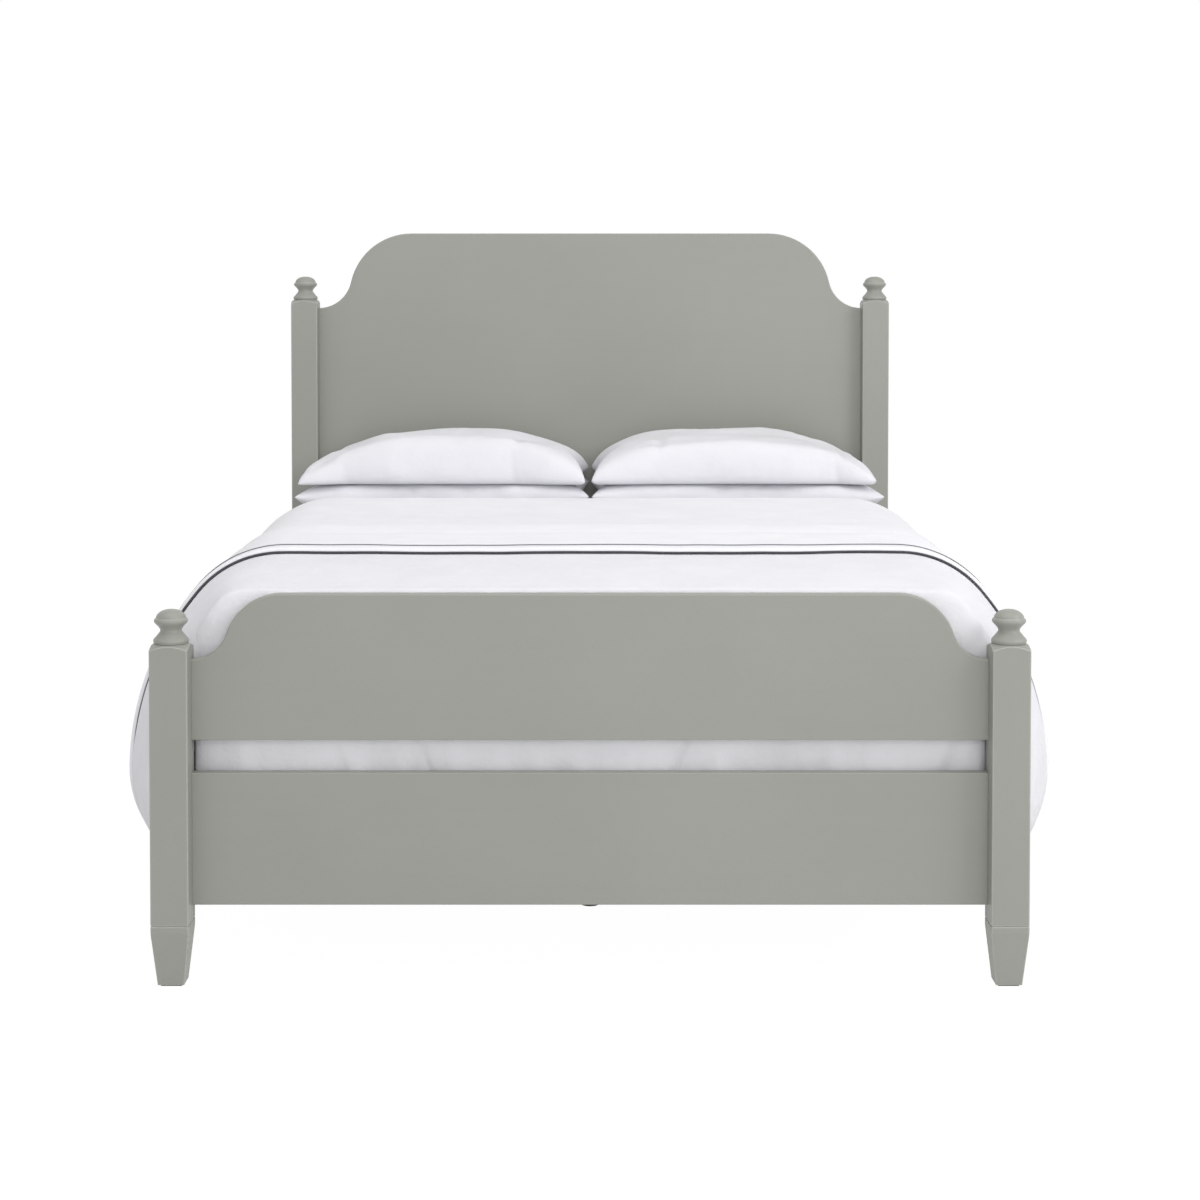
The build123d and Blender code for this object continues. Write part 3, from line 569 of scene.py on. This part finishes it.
# %% Piping round the mattress and the foundation
def piping_tree(name, material):
    """Makes a round cord along a curve."""
    tree, given = new_tree(name, {"Radius": ("NodeSocketFloat", 0.003)})
    ring = add(tree, "GeometryNodeCurvePrimitiveCircle", {
        "Resolution": 8, "Radius": given["Radius"]})
    cord = add(tree, "GeometryNodeCurveToMesh", {
        "Curve": given["Geometry"], "Profile Curve": ring.outputs["Curve"]})
    end_tree(tree, cord.outputs["Mesh"], material)
    return tree


def poly_curve(points, closed=False):
    """A curve of straight stretches through the points."""
    curve = bpy.data.curves.new("line", "CURVE")
    curve.dimensions = "3D"
    spline = curve.splines.new("POLY")
    spline.points.add(len(points) - 1)
    spline.use_cyclic_u = closed
    for target, point in zip(spline.points, points):
        target.co = (*point, 1)
    return curve


def ring_curve(low, high, corner, inset, z):
    """A closed curve round a block at one height."""
    outline = rounded_outline((high.x - low.x) / 2 - inset, (high.y - low.y) / 2 - inset,
                              corner - inset, 10, 10)[:-1]
    return poly_curve([((low.x + high.x) / 2 + x, (low.y + high.y) / 2 + y, z)
                       for x, y in outline], closed=True)


for name, low, high, corner, z, finish, slot in (
        ("foundation_piping_top", base_low, base_high, BASE_CORNER, base_high.z - 0.012,
         base_cloth, "foundation_cloth"),
        ("foundation_piping_low", base_low, base_high, BASE_CORNER, base_low.z + 0.012,
         base_cloth, "foundation_cloth"),
        ("mattress_piping_low", mattress_low + SLACK, mattress_high - SLACK, MATTRESS_CORNER,
         mattress_low.z + 0.032, ticking_cloth, "mattress_ticking")):
    run_tree(name, piping_tree(name, finish), ring_curve(low, high, corner, 0.0015, z),
             {"Radius": PIPING_RADIUS}, finish)

# %% The fitted sheet
sheet_low, sheet_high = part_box("fitted_sheet")
SHEET_THICKNESS = 0.0012
SHEET_CORNER = 0.077
SHEET_EDGE = 0.031


def sheet_slack(x, y, z):
    """How far the fitted sheet puckers out near its lower corners, in metres."""
    corner = min(1.0, max(0.0, (abs(y - sheet_mid_y) - sheet_half_y + 0.30) / 0.30))
    corner *= min(1.0, max(0.0, (abs(x) - 0.45) / 0.31))
    low = min(1.0, max(0.0, (sheet_high.z - 0.04 - z) / 0.26))
    wave = noise.noise(Vector((x * 16, y * 16, z * 2.0)))
    return 0.0022 * corner * low * wave + 0.0006 * low * noise.noise(Vector((x * 7, y * 7, z * 3)))


sheet_mid_y = (sheet_low.y + sheet_high.y) / 2
sheet_half_y = (sheet_high.y - sheet_low.y) / 2
outer_rings = close_over(block_rings(sheet_low + SLACK, sheet_high - SLACK, SHEET_CORNER,
                                     SHEET_EDGE, 18, top_only=True), 16, 0.0)
centre = np.array([0.0, sheet_mid_y, 0.0])
for ring in outer_rings:
    for point in ring:
        away = Vector((point[0], point[1] - sheet_mid_y, 0))
        if away.length > 1e-6:
            point[:2] += np.array(away.normalized()[:2]) * sheet_slack(*point)
inner_rings = outer_rings.copy()
away = outer_rings - centre
away[..., 2] = 0
away /= np.maximum(np.linalg.norm(away, axis=-1, keepdims=True), 1e-9)
flatness = np.clip((outer_rings[..., 2:] - (sheet_high.z - SHEET_EDGE)) / SHEET_EDGE, 0, 1)
inner_rings -= away * SHEET_THICKNESS * (1 - flatness)
inner_rings[..., 2:] -= SHEET_THICKNESS * flatness
hem = np.stack([outer_rings[0], inner_rings[0]])
fitted = make_piece("fitted_sheet_cloth", grid_mesh("fitted_sheet_cloth",
                    [outer_rings, inner_rings, hem]), sheet_cloth)
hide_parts("fitted_sheet")

# %% [markdown]
# ## The duvet's shape
# Across the bed the duvet lies flat, rolls over the mattress's edge in a round shoulder and hangs
# in a full, slow curve to its hem. Along the bed it starts narrow, tucked behind the foot posts,
# and swells out behind them. One function gives a row of points across the bed at any place
# along it, so the duvet, the turned sheet over it and the embroidery all share the same surface.

# %% The duvet's driving sizes
DUVET_FOOT_Y = -1.0075
DUVET_HEAD_Y = 0.5175
CUFF_Y = -0.6515
SWELL_LENGTH = 0.380
TOP_Z = (0.750, 0.7825)
FLAT_HALF = (0.665, 0.645)
BULGE_HALF = (0.838, 0.947)
BULGE_Z = (0.400, 0.335)
HEM_Z = (0.262, 0.222)
HEM_TUCK = 0.034
SHOULDER_TURN = math.radians(50)
BELLY = 0.022


def soft_step(low, high, value):
    """0 below low, 1 above high, and a smooth rise between."""
    t = np.clip((value - low) / (high - low), 0, 1)
    return t * t * (3 - 2 * t)


def half_outline(y):
    """A dense right half of the duvet's outline at one place along the bed, middle to hem."""
    share = min(1.0, max(0.0, (y - DUVET_FOOT_Y) / SWELL_LENGTH))
    swell = 1 - (1 - share) ** 2
    top, flat, bulge, bulge_z, hem_z = (
        low + (high - low) * swell for low, high in (TOP_Z, FLAT_HALF, BULGE_HALF, BULGE_Z, HEM_Z))
    belly = BELLY * float(soft_step(0.40, 0.75, y - DUVET_FOOT_Y))
    flat, bulge = flat + belly, bulge + belly / 2
    rest = math.pi / 2 - SHOULDER_TURN
    slope = math.tan(rest / 2)
    radius = ((bulge - flat - slope * (top - bulge_z))
              / (math.sin(SHOULDER_TURN) - slope * (1 - math.cos(SHOULDER_TURN))))
    angles = np.linspace(0, SHOULDER_TURN, 60)
    shoulder = np.stack([flat + radius * np.sin(angles), top - radius * (1 - np.cos(angles))], 1)
    side_radius = (shoulder[-1][1] - bulge_z) / math.sin(rest)
    angles = np.linspace(rest, 0, 56)[1:]
    side = np.stack([bulge - side_radius * (1 - np.cos(angles)),
                     bulge_z + side_radius * np.sin(angles)], 1)
    drop = bulge_z - hem_z
    hem_radius = (HEM_TUCK ** 2 + drop ** 2) / (2 * HEM_TUCK)
    angles = np.linspace(0, math.asin(drop / hem_radius), 26)[1:]
    hem = np.stack([bulge - hem_radius * (1 - np.cos(angles)),
                    bulge_z - hem_radius * np.sin(angles)], 1)
    level = np.stack([np.linspace(0, flat, 60, endpoint=False), np.full(60, top)], 1)
    return np.concatenate([level, shoulder, side, hem])


LONG_FOLDS = ((0.14, 0.035, -0.0030), (0.33, 0.040, 0.0030), (0.41, 0.024, -0.0045),
              (0.52, 0.050, 0.0050), (0.73, 0.110, -0.0040), (1.10, 0.170, 0.0100))


def long_folds(y):
    """The low waves across the bed behind the turned edge, in metres."""
    back = y - CUFF_Y
    return sum(height * math.exp(-((back - middle) / width) ** 2)
               for middle, width, height in LONG_FOLDS)


def swelling(y, point, share):
    """How far the duvet's surface stands out from its plain form at one point, in metres."""
    side = float(soft_step(0.45, 0.95, abs(share)))
    top = 1 - side
    x, z = point
    puff = long_folds(y) + 0.0030 * noise.noise(Vector((x * 3.1, y * 2.7, 1.3)))
    puff += 0.0015 * noise.noise(Vector((x * 9.0, y * 7.0, 4.1)))
    hang = 0.007 * noise.noise(Vector((math.copysign(2.0, x), y * 4.2, z * 0.9)))
    hang += 0.004 * noise.noise(Vector((math.copysign(5.0, x), y * 11.0 + z * 3.0, z * 2.4)))
    foot = 1 - float(soft_step(0.0, 0.34, y - DUVET_FOOT_Y))
    pucker = 0.006 * noise.noise(Vector((x * 14.0, (y + z) * 9.0, z * 6.0)))
    return puff * top + hang * side + foot * pucker * float(soft_step(0.35, 0.6, abs(share)))


def duvet_rows(places, shares, lift):
    """Points and outward normals of the surface lift above the duvet, by place and share across."""
    rows, normals = [], []
    for y in places:
        line = half_outline(y)
        run = np.concatenate([[0], np.cumsum(np.linalg.norm(np.diff(line, axis=0), axis=1))])
        want = np.abs(shares) * run[-1]
        x, z = (np.interp(want, run, line[:, k]) for k in (0, 1))
        step = 0.004
        tx, tz = (np.interp(want + step, run, line[:, k]) - np.interp(want - step, run, line[:, k])
                  for k in (0, 1))
        size = np.maximum(np.hypot(tx, tz), 1e-9)
        nx, nz = -tz / size, tx / size
        sign = np.sign(shares)
        rise = lift(y) if callable(lift) else lift
        out = np.array([rise + swelling(y, (s * a, c), t)
                        for a, c, s, t in zip(x, z, sign, shares)])
        rows.append(np.stack([sign * (x + nx * out), np.full_like(x, y), z + nz * out], 1))
        normals.append(np.stack([sign * nx, np.zeros_like(x), nz], 1))
    return np.array(rows), np.array(normals)


print("duvet runs", round(DUVET_HEAD_Y - DUVET_FOOT_Y, 3), "m along the bed")

# %% [markdown]
# ## The duvet
# A duvet is two skins with down between them, sewn round the edge. The outer skin is the surface
# above, the inner one lies a duvet's thickness inside it and flat on the sheet where it rests,
# and a round lip joins them on all four sides. A second pad is the end that is tucked down
# between the mattress and the footboard, which shows in the gap under the panel.

# %% Duvet skins
DUVET_THICKNESS = 0.048
DUVET_LIP = 0.024
DUVET_ROWS = 150
DUVET_COLUMNS = 260
BED_REST_Z = sheet_high.z + 0.0006
SHEET_SIDE_X = sheet_high.x + 0.004


def lining_of(outer, normals, thickness):
    """The inner skin: a thickness inside the outer one, and on the sheet over the mattress."""
    inner = outer - normals * thickness
    over = np.abs(inner[..., 0]) < SHEET_SIDE_X
    inner[..., 2] = np.where(over & (outer[..., 2] > BED_REST_Z), BED_REST_Z, inner[..., 2])
    return inner


places = np.linspace(DUVET_FOOT_Y + DUVET_LIP, DUVET_HEAD_Y - DUVET_LIP, DUVET_ROWS)
shares = np.linspace(-1, 1, DUVET_COLUMNS + 1)
duvet_outer, duvet_normals = duvet_rows(places, shares, 0.0)
duvet_inner = lining_of(duvet_outer, duvet_normals, DUVET_THICKNESS)
duvet_mesh = padded_mesh("duvet_body", duvet_outer, duvet_inner)

# %% The tucked end in the gap
TUCK_LOW_Z = 0.340
TUCK_HALF = 0.7605
TUCK_TURN = 0.055
TUCK_SKIN = 0.006
TUCK_CORNER = 0.064
TUCK_TURNED_BACK = 0.15
TUCK_TOP_ROWS = ((-0.950, -0.003), (-0.962, -0.001), (-0.975, 0.001), (-0.988, 0.002),
                 (-1.000, 0.002))
_, panel_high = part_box("footboard_panel")
TUCK_FRONT_Y = panel_high.y + 0.0025
TUCK_BACK_Y = sheet_low.y - 0.002
PINCHES = ((-0.496, 0.011, -0.0045), (-0.351, 0.006, 0.0045), (0.147, 0.009, -0.0035),
           (0.205, 0.006, 0.0045), (0.733, 0.013, 0.0050))
PINCH_LEAN = 0.35
PINCH_MIDDLE_Z = 0.52


def tuck_fold(x, z):
    """Upright creases where the tucked duvet is pinched, in metres."""
    pinch = 0
    for place, width, depth in PINCHES:
        off = x - place - PINCH_LEAN * (z - PINCH_MIDDLE_Z) * np.sign(place)
        pinch += depth * math.exp(-(off / width) ** 2)
    crease = noise.noise(Vector((x * 7.0, z * 1.2, 8.0)))
    fine = noise.noise(Vector((x * 26.0, z * 3.0, 3.0)))
    return 0.008 * crease + 0.0035 * fine + pinch


columns = np.linspace(-TUCK_HALF, TUCK_HALF, 260)
past = np.maximum(np.abs(columns) - (TUCK_HALF + 0.002 - TUCK_CORNER), 0)
turned_back = (TUCK_CORNER - np.sqrt(TUCK_CORNER ** 2 - past ** 2)) * TUCK_TURNED_BACK
front, back = [], []
for place, lift in TUCK_TOP_ROWS:
    over, _ = duvet_rows([place], shares, lift)
    top_z = np.interp(columns, over[0][:, 0], over[0][:, 2])
    front.append(np.stack([columns, place + turned_back, top_z], 1))
    back.append(front[-1] - np.array([0, 0, TUCK_SKIN]))
turn_y = TUCK_TOP_ROWS[-1][0]
face_y = TUCK_FRONT_Y + 0.006
for a in np.linspace(0, math.pi / 2, 10)[1:]:
    y = turn_y - (turn_y - face_y) * math.sin(a)
    front.append(np.stack([columns, y + turned_back, top_z - TUCK_TURN * (1 - math.cos(a))], 1))
    back.append(front[-1] + TUCK_SKIN * np.array([0, math.sin(a), -math.cos(a)]))
for share in np.linspace(0, 1, 40)[1:]:
    low = (top_z - TUCK_TURN) * (1 - share) + TUCK_LOW_Z * share
    ease = float(soft_step(0, 0.2, share))
    folds = np.array([max(-0.005, tuck_fold(x, z)) for x, z in zip(columns, low)])
    front.append(np.stack([columns, face_y + turned_back + ease * folds, low], 1))
    back.append(np.stack([columns, TUCK_BACK_Y - 0.002 + turned_back, low], 1))
tuck_mesh = padded_mesh("duvet_tuck", np.array(front), np.array(back))

# %% Join the duvet's two pads
joined = bmesh.new()
joined.from_mesh(duvet_mesh)
joined.from_mesh(tuck_mesh)
joined.to_mesh(duvet_mesh)
joined.free()
duvet = make_piece("duvet_body", duvet_mesh, duvet_cloth)
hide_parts("duvet")

# %% [markdown]
# ## The turned-down sheet
# The top sheet is folded back over the duvet. Its front edge is a soft double hem that stands up
# a finger's thickness. Behind the hem the cloth lies close on the duvet, so the duvet's own low
# waves show through it. The rise is written as a function of the place along the bed.

# %% Turned sheet
SHEET_LOFT = 0.0042
SHEET_REST = 0.0010
HEM_DEPTH = 0.090
HEM_RISE = 0.0085


def sheet_rise(y):
    """How high the turned sheet stands over the duvet at one place along the bed."""
    hem_share = 1 - float(soft_step(HEM_DEPTH * 0.75, HEM_DEPTH * 1.3, y - CUFF_Y))
    return SHEET_LOFT + HEM_RISE * hem_share


sheet_places = np.concatenate([
    np.linspace(CUFF_Y, CUFF_Y + 0.16, 34, endpoint=False),
    np.linspace(CUFF_Y + 0.16, DUVET_HEAD_Y - 0.004, 84)])
sheet_outer, _ = duvet_rows(sheet_places, shares, sheet_rise)
sheet_inner, _ = duvet_rows(sheet_places, shares, SHEET_REST)
turned_mesh_data = padded_mesh("turned_sheet_cloth", sheet_outer, sheet_inner)
turned = make_piece("turned_sheet_cloth", turned_mesh_data, sheet_cloth)
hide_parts("turned_sheet")

# %% [markdown]
# ## Embroidery
# A dark line is stitched along the very front of the turned edge, low where its hem meets the
# duvet, and a grey one two fingers behind it. Across the top the front line's thread is darker
# than the grey one: it is embroidery and also painted shade of the crease at the hem's foot. Both
# go on down the sides in finer grey thread. A line of embroidery is hundreds of short satin
# stitches. A curve is laid on the cloth, and Geometry Nodes sets a stitch at even steps along it,
# turned to follow.


# %% Stitched lines
def stitched_line_tree(name, material):
    """Sets a short rounded stitch at even steps along a curve."""
    tree, given = new_tree(name, {
        "Stitch Pitch": ("NodeSocketFloat", 0.003), "Stitch Length": ("NodeSocketFloat", 0.004),
        "Thread": ("NodeSocketFloat", 0.001)})
    steps = add(tree, "GeometryNodeResampleCurve", {
        "Curve": given["Geometry"], "Length": given["Stitch Pitch"]}, mode="LENGTH")
    tangent = add(tree, "GeometryNodeInputTangent")
    turn = add(tree, "FunctionNodeAlignRotationToVector", {"Vector": tangent.outputs[0]}, axis="Z")
    stitch = add(tree, "GeometryNodeMeshCylinder", {
        "Vertices": 6, "Radius": given["Thread"], "Depth": given["Stitch Length"]})
    placed = add(tree, "GeometryNodeInstanceOnPoints", {
        "Points": steps.outputs["Curve"], "Instance": stitch.outputs["Mesh"],
        "Rotation": turn.outputs["Rotation"]})
    end_tree(tree, placed.outputs["Instances"], material)
    return tree


def line_on_sheet(y, raise_by, first, last):
    """A curve across the turned sheet at one place, between two shares of its width."""
    rows, _ = duvet_rows([y], np.linspace(first, last, 400),
                         lambda place: sheet_rise(place) + raise_by)
    return poly_curve(rows[0])


TOP_SHARE = 0.68
END_SHARE = 0.985
FRONT_Y = CUFF_Y - 0.0065
FRONT_RAISE = -0.0088
BACK_Y = CUFF_Y + 0.045
for name, y, raise_by, thread, first, last, finish in (
        ("embroidery_front", FRONT_Y, FRONT_RAISE, 0.0022, -TOP_SHARE, TOP_SHARE, thread_finish),
        ("embroidery_back", BACK_Y, 0.0004, 0.0018, -TOP_SHARE, TOP_SHARE, grey_thread),
        ("embroidery_back_left", BACK_Y, 0.0002, 0.0009, -END_SHARE, -TOP_SHARE, grey_thread),
        ("embroidery_back_right", BACK_Y, 0.0002, 0.0009, TOP_SHARE, END_SHARE, grey_thread),
        ("embroidery_side_left", FRONT_Y, FRONT_RAISE, 0.0012, -END_SHARE, -TOP_SHARE, grey_thread),
        ("embroidery_side_right", FRONT_Y, FRONT_RAISE, 0.0012, TOP_SHARE, END_SHARE, grey_thread)):
    run_tree(name, stitched_line_tree(name, finish), line_on_sheet(y, raise_by, first, last),
             {"Stitch Pitch": 0.0042, "Stitch Length": 0.0045, "Thread": thread},
             finish)

# %% [markdown]
# ## Pillows
# A pillow starts as two flat pieces of cloth sewn at the edge. Blown up, the cloth has too much
# edge for its new outline, and that is what makes the puckers and the pointed corners of a real
# pillow. So each pillow is blown up that way: two grids, cloth simulation with pressure. A share
# of its creases is mixed into the smooth form of the filling, which is then brought to its size
# and pressed flat where it rests.


# %% Pillow tools
PILLOW_CUT = (0.79, 0.53)
PILLOW_GRID = (72, 50)
PILLOW_FRAMES = 24
START_THICKNESS = 0.09
PRESSURE = 2.2
SHRINK = -0.02
SEED_STEP = 3.7
PRESS_SOFTNESS = 0.003
FULL_ACROSS = 0.55
OUTER_POWER = 2.0
INNER_POWER = 3.2
FULL_ALONG = 0.5
PULL_IN = 0.035
CREASE_SHARE = 0.35
END_PINCHES = (0.74, -0.53)
PINCH_WIDTH = 0.035
PINCH_DEPTH = 0.055


def sewn_pillow(name, seed, thickness):
    """Two cloths sewn at the rim over a filling of that thickness, pulled in between corners."""
    width, depth = PILLOW_CUT
    across, along = PILLOW_GRID
    u = np.linspace(-1, 1, across + 1)
    v = np.linspace(-1, 1, along + 1)
    grids = []
    for side in (1, -1):
        grid = []
        for a in u:
            row = []
            for b in v:
                power = OUTER_POWER if a > 0 else INNER_POWER
                full = (1 - abs(a) ** power) ** FULL_ACROSS * (1 - b ** 4) ** FULL_ALONG
                pinched = sum(math.exp(-((a - place) / PINCH_WIDTH) ** 2) for place in END_PINCHES)
                full *= 1 - PINCH_DEPTH * pinched * float(soft_step(0.0, 0.6, -b))
                lumpy = 1 + 0.10 * noise.noise(Vector((a * 2 + seed, b * 2, side)))
                x = a * width / 2 * (1 - PULL_IN * (1 - b * b))
                y = b * depth / 2 * (1 - PULL_IN * (1 - a * a))
                row.append((x, y, side * thickness / 2 * full * lumpy))
            grid.append(row)
        grids.append(np.array(grid))
    return grid_mesh(name, grids)


def blow_up(mesh, frames, pressure, shrink):
    """Runs a cloth simulation with pressure and no gravity, and returns the swollen mesh."""
    scene = bpy.context.scene
    cloth_object = bpy.data.objects.new("blown", mesh)
    scene.collection.objects.link(cloth_object)
    modifier = cloth_object.modifiers.new("cloth", "CLOTH")
    settings = modifier.settings
    settings.quality = 6
    settings.mass = 0.25
    settings.tension_stiffness = 25
    settings.compression_stiffness = 25
    settings.shear_stiffness = 8
    settings.bending_stiffness = 0.35
    settings.use_pressure = True
    settings.uniform_pressure_force = pressure
    settings.shrink_min = shrink
    settings.effector_weights.gravity = 0
    modifier.collision_settings.use_collision = False
    modifier.point_cache.frame_start = 1
    modifier.point_cache.frame_end = frames
    for step in range(1, frames + 1):
        scene.frame_set(step)
    evaluated = cloth_object.evaluated_get(bpy.context.evaluated_depsgraph_get())
    swollen = bpy.data.meshes.new_from_object(evaluated)
    cloth_object.modifiers.clear()
    bpy.data.objects.remove(cloth_object)
    scene.frame_set(1)
    return swollen


def soft_floor(z, floor, softness):
    """Presses heights up to a floor without a crease."""
    return floor + softness * np.logaddexp(0, (z - floor) / softness)


def soft_ceiling(z, ceiling, softness):
    """Presses heights down to a ceiling without a crease."""
    return -soft_floor(-z, -ceiling, softness)


def read_points(mesh):
    """The mesh's points as an array."""
    flat = np.zeros(len(mesh.vertices) * 3)
    mesh.vertices.foreach_get("co", flat)
    return flat.reshape(-1, 3)


def mix_points(mesh, other, size, share):
    """Moves the mesh's points that share of the way to another mesh's, brought to the same size."""
    points, target = read_points(mesh), read_points(other)
    target -= (target.max(axis=0) + target.min(axis=0)) / 2
    target *= np.array(size) / (target.max(axis=0) - target.min(axis=0))
    points += (target - points) * share
    mesh.vertices.foreach_set("co", points.ravel())
    mesh.update()


# %% Blow up and place the pillows
PILLOW_FLOOR = sheet_high.z + 0.0008
STACK_Z = PILLOW_FLOOR + 0.1038
pillow_low, pillow_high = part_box("lower_pillow_right")
layouts = {
    "lower": {"size": (0.776, 0.512, 0.190), "seam": 0.772, "floor": PILLOW_FLOOR,
              "ceiling": STACK_Z, "corner": 0.796, "middle": 0.386, "forward": 0.0},
    "upper": {"size": (0.768, 0.512, 0.222), "seam": 0.842, "floor": STACK_Z + 0.0008,
              "ceiling": 1.2, "corner": 0.832, "middle": 0.383, "forward": 0.003},
}


def set_pillow(mesh, layout, side):
    """Brings a swollen pillow to its size and place and presses it on what carries it."""
    points = read_points(mesh)
    size = points.max(axis=0) - points.min(axis=0)
    points -= (points.max(axis=0) + points.min(axis=0)) / 2
    points *= np.array(layout["size"]) / size
    across = np.abs(points[:, 0]) / (layout["size"][0] / 2)
    droop = np.clip(across, 0, 1) ** 3
    points[:, 2] += layout["seam"] + (layout["corner"] - layout["seam"]) * droop
    points[:, 2] = soft_floor(points[:, 2], layout["floor"], PRESS_SOFTNESS)
    points[:, 2] = soft_ceiling(points[:, 2], layout["ceiling"], PRESS_SOFTNESS)
    points[:, 0] = (points[:, 0] + layout["middle"]) * side
    points[:, 1] += (pillow_low.y + pillow_high.y) / 2 - layout["forward"]
    mesh.vertices.foreach_set("co", points.ravel())
    mesh.update()
    shape = bmesh.new()
    shape.from_mesh(mesh)
    bmesh.ops.recalc_face_normals(shape, faces=shape.faces)
    shape.to_mesh(mesh)
    shape.free()


pillow_count = 0
for level, layout in layouts.items():
    for side, word in ((-1, "left"), (1, "right")):
        pillow_count += 1
        seed = pillow_count * SEED_STEP
        name = f"{level}_pillow_{word}_case"
        pillow_mesh = sewn_pillow(name, seed, layout["size"][2])
        swollen = blow_up(sewn_pillow(name, seed, START_THICKNESS), PILLOW_FRAMES, PRESSURE,
                          SHRINK)
        mix_points(pillow_mesh, swollen, layout["size"], CREASE_SHARE)
        set_pillow(pillow_mesh, layout, side)
        pillow = make_piece(name, pillow_mesh, pillow_cloth)
        smoother = pillow.modifiers.new("smoother", "SUBSURF")
        smoother.levels = 1
        smoother.render_levels = 1
        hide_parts(f"{level}_pillow_{word}")

# %% [markdown]
# ## Stage, light and camera
# The floor and the background are white. A camera ray sees them near full white, while other rays
# see a calmer studio, so the background doesn't light the bed. One large soft lamp stands to the
# right, as in the picture, which leaves the left faces of the posts darker.


# %% Floor and world
def seen_directly(tree):
    """1 for rays from the camera and for mirrored and refracted ones, 0 for all others."""
    ray = add(tree, "ShaderNodeLightPath")
    seen = ray.outputs["Is Camera Ray"]
    for kind in ("Is Glossy Ray", "Is Transmission Ray"):
        seen = add(tree, "ShaderNodeMath", {0: seen, 1: ray.outputs[kind]},
                   operation="MAXIMUM").outputs[0]
    return seen


FLOOR_HALF = 30
FLOOR_SHARE = 0.95
FLOOR_LEVEL = 1.035
STUDIO_LEVEL = 0.60
floor_mesh = bpy.data.meshes.new("floor")
floor_mesh.from_pydata([(x * FLOOR_HALF, y * FLOOR_HALF, 0)
                        for x, y in ((-1, -1), (1, -1), (1, 1), (-1, 1))], [], [(0, 1, 2, 3)])
floor = bpy.data.objects.new("floor", floor_mesh)
bpy.context.scene.collection.objects.link(floor)
floor_finish = bpy.data.materials.new("floor_white")
floor_finish.use_nodes = True
tree = floor_finish.node_tree
tree.nodes.clear()
share = add(tree, "ShaderNodeMath", {0: seen_directly(tree), 1: FLOOR_SHARE},
            operation="MULTIPLY")
matt = add(tree, "ShaderNodeBsdfDiffuse", {"Color": (0.86, 0.86, 0.86, 1)})
white = add(tree, "ShaderNodeEmission", {"Color": (1, 1, 1, 1), "Strength": FLOOR_LEVEL})
both = add(tree, "ShaderNodeMixShader", {
    0: share.outputs[0], 1: matt.outputs[0], 2: white.outputs[0]})
add(tree, "ShaderNodeOutputMaterial", {"Surface": both.outputs[0]})
floor_mesh.materials.append(floor_finish)

world = bpy.data.worlds.new("studio")
bpy.context.scene.world = world
world.use_nodes = True
tree = world.node_tree
tree.nodes.clear()
dim = add(tree, "ShaderNodeBackground", {"Color": (1, 1, 1, 1), "Strength": STUDIO_LEVEL})
bright = add(tree, "ShaderNodeBackground", {"Color": (1, 1, 1, 1), "Strength": 1.0})
both = add(tree, "ShaderNodeMixShader", {
    0: seen_directly(tree), 1: dim.outputs[0], 2: bright.outputs[0]})
add(tree, "ShaderNodeOutputWorld", {"Surface": both.outputs[0]})


# %% Lamps
def soft_lamp(name, place, aim, size, power):
    """A square area lamp at a place, turned towards its aim."""
    lamp = bpy.data.lights.new(name, "AREA")
    lamp.shape = "SQUARE"
    lamp.size = size
    lamp.energy = power
    holder = bpy.data.objects.new(name, lamp)
    holder.location = place
    holder.rotation_euler = (Vector(aim) - Vector(place)).to_track_quat("-Z", "Y").to_euler()
    bpy.context.scene.collection.objects.link(holder)


soft_lamp("key", (4.2, -2.8, 3.4), (0, 0, 0.6), 2.4, 88)
soft_lamp("above", (-0.4, -1.8, 5.2), (0, 0, 0.6), 3.6, 66)
soft_lamp("front", (0.8, -7.0, 2.5), (0, 0.3, 0.8), 2.5, 78)

# %% Camera
LENS = 68.82
CAMERA_PLACE = (0.0, -5.4189, 1.3253)
CAMERA_PITCH = math.radians(2.0)
CAMERA_SHIFT = (0.00833, -0.18877)
camera_data = bpy.data.cameras.new("camera")
camera_data.sensor_width = 36
camera_data.lens = LENS
camera_data.shift_x, camera_data.shift_y = CAMERA_SHIFT
camera = bpy.data.objects.new("camera", camera_data)
camera.location = CAMERA_PLACE
camera.rotation_euler = (math.pi / 2 - CAMERA_PITCH, 0, 0)
bpy.context.scene.collection.objects.link(camera)
bpy.context.scene.camera = camera
bpy.context.scene.view_settings.view_transform = "Standard"
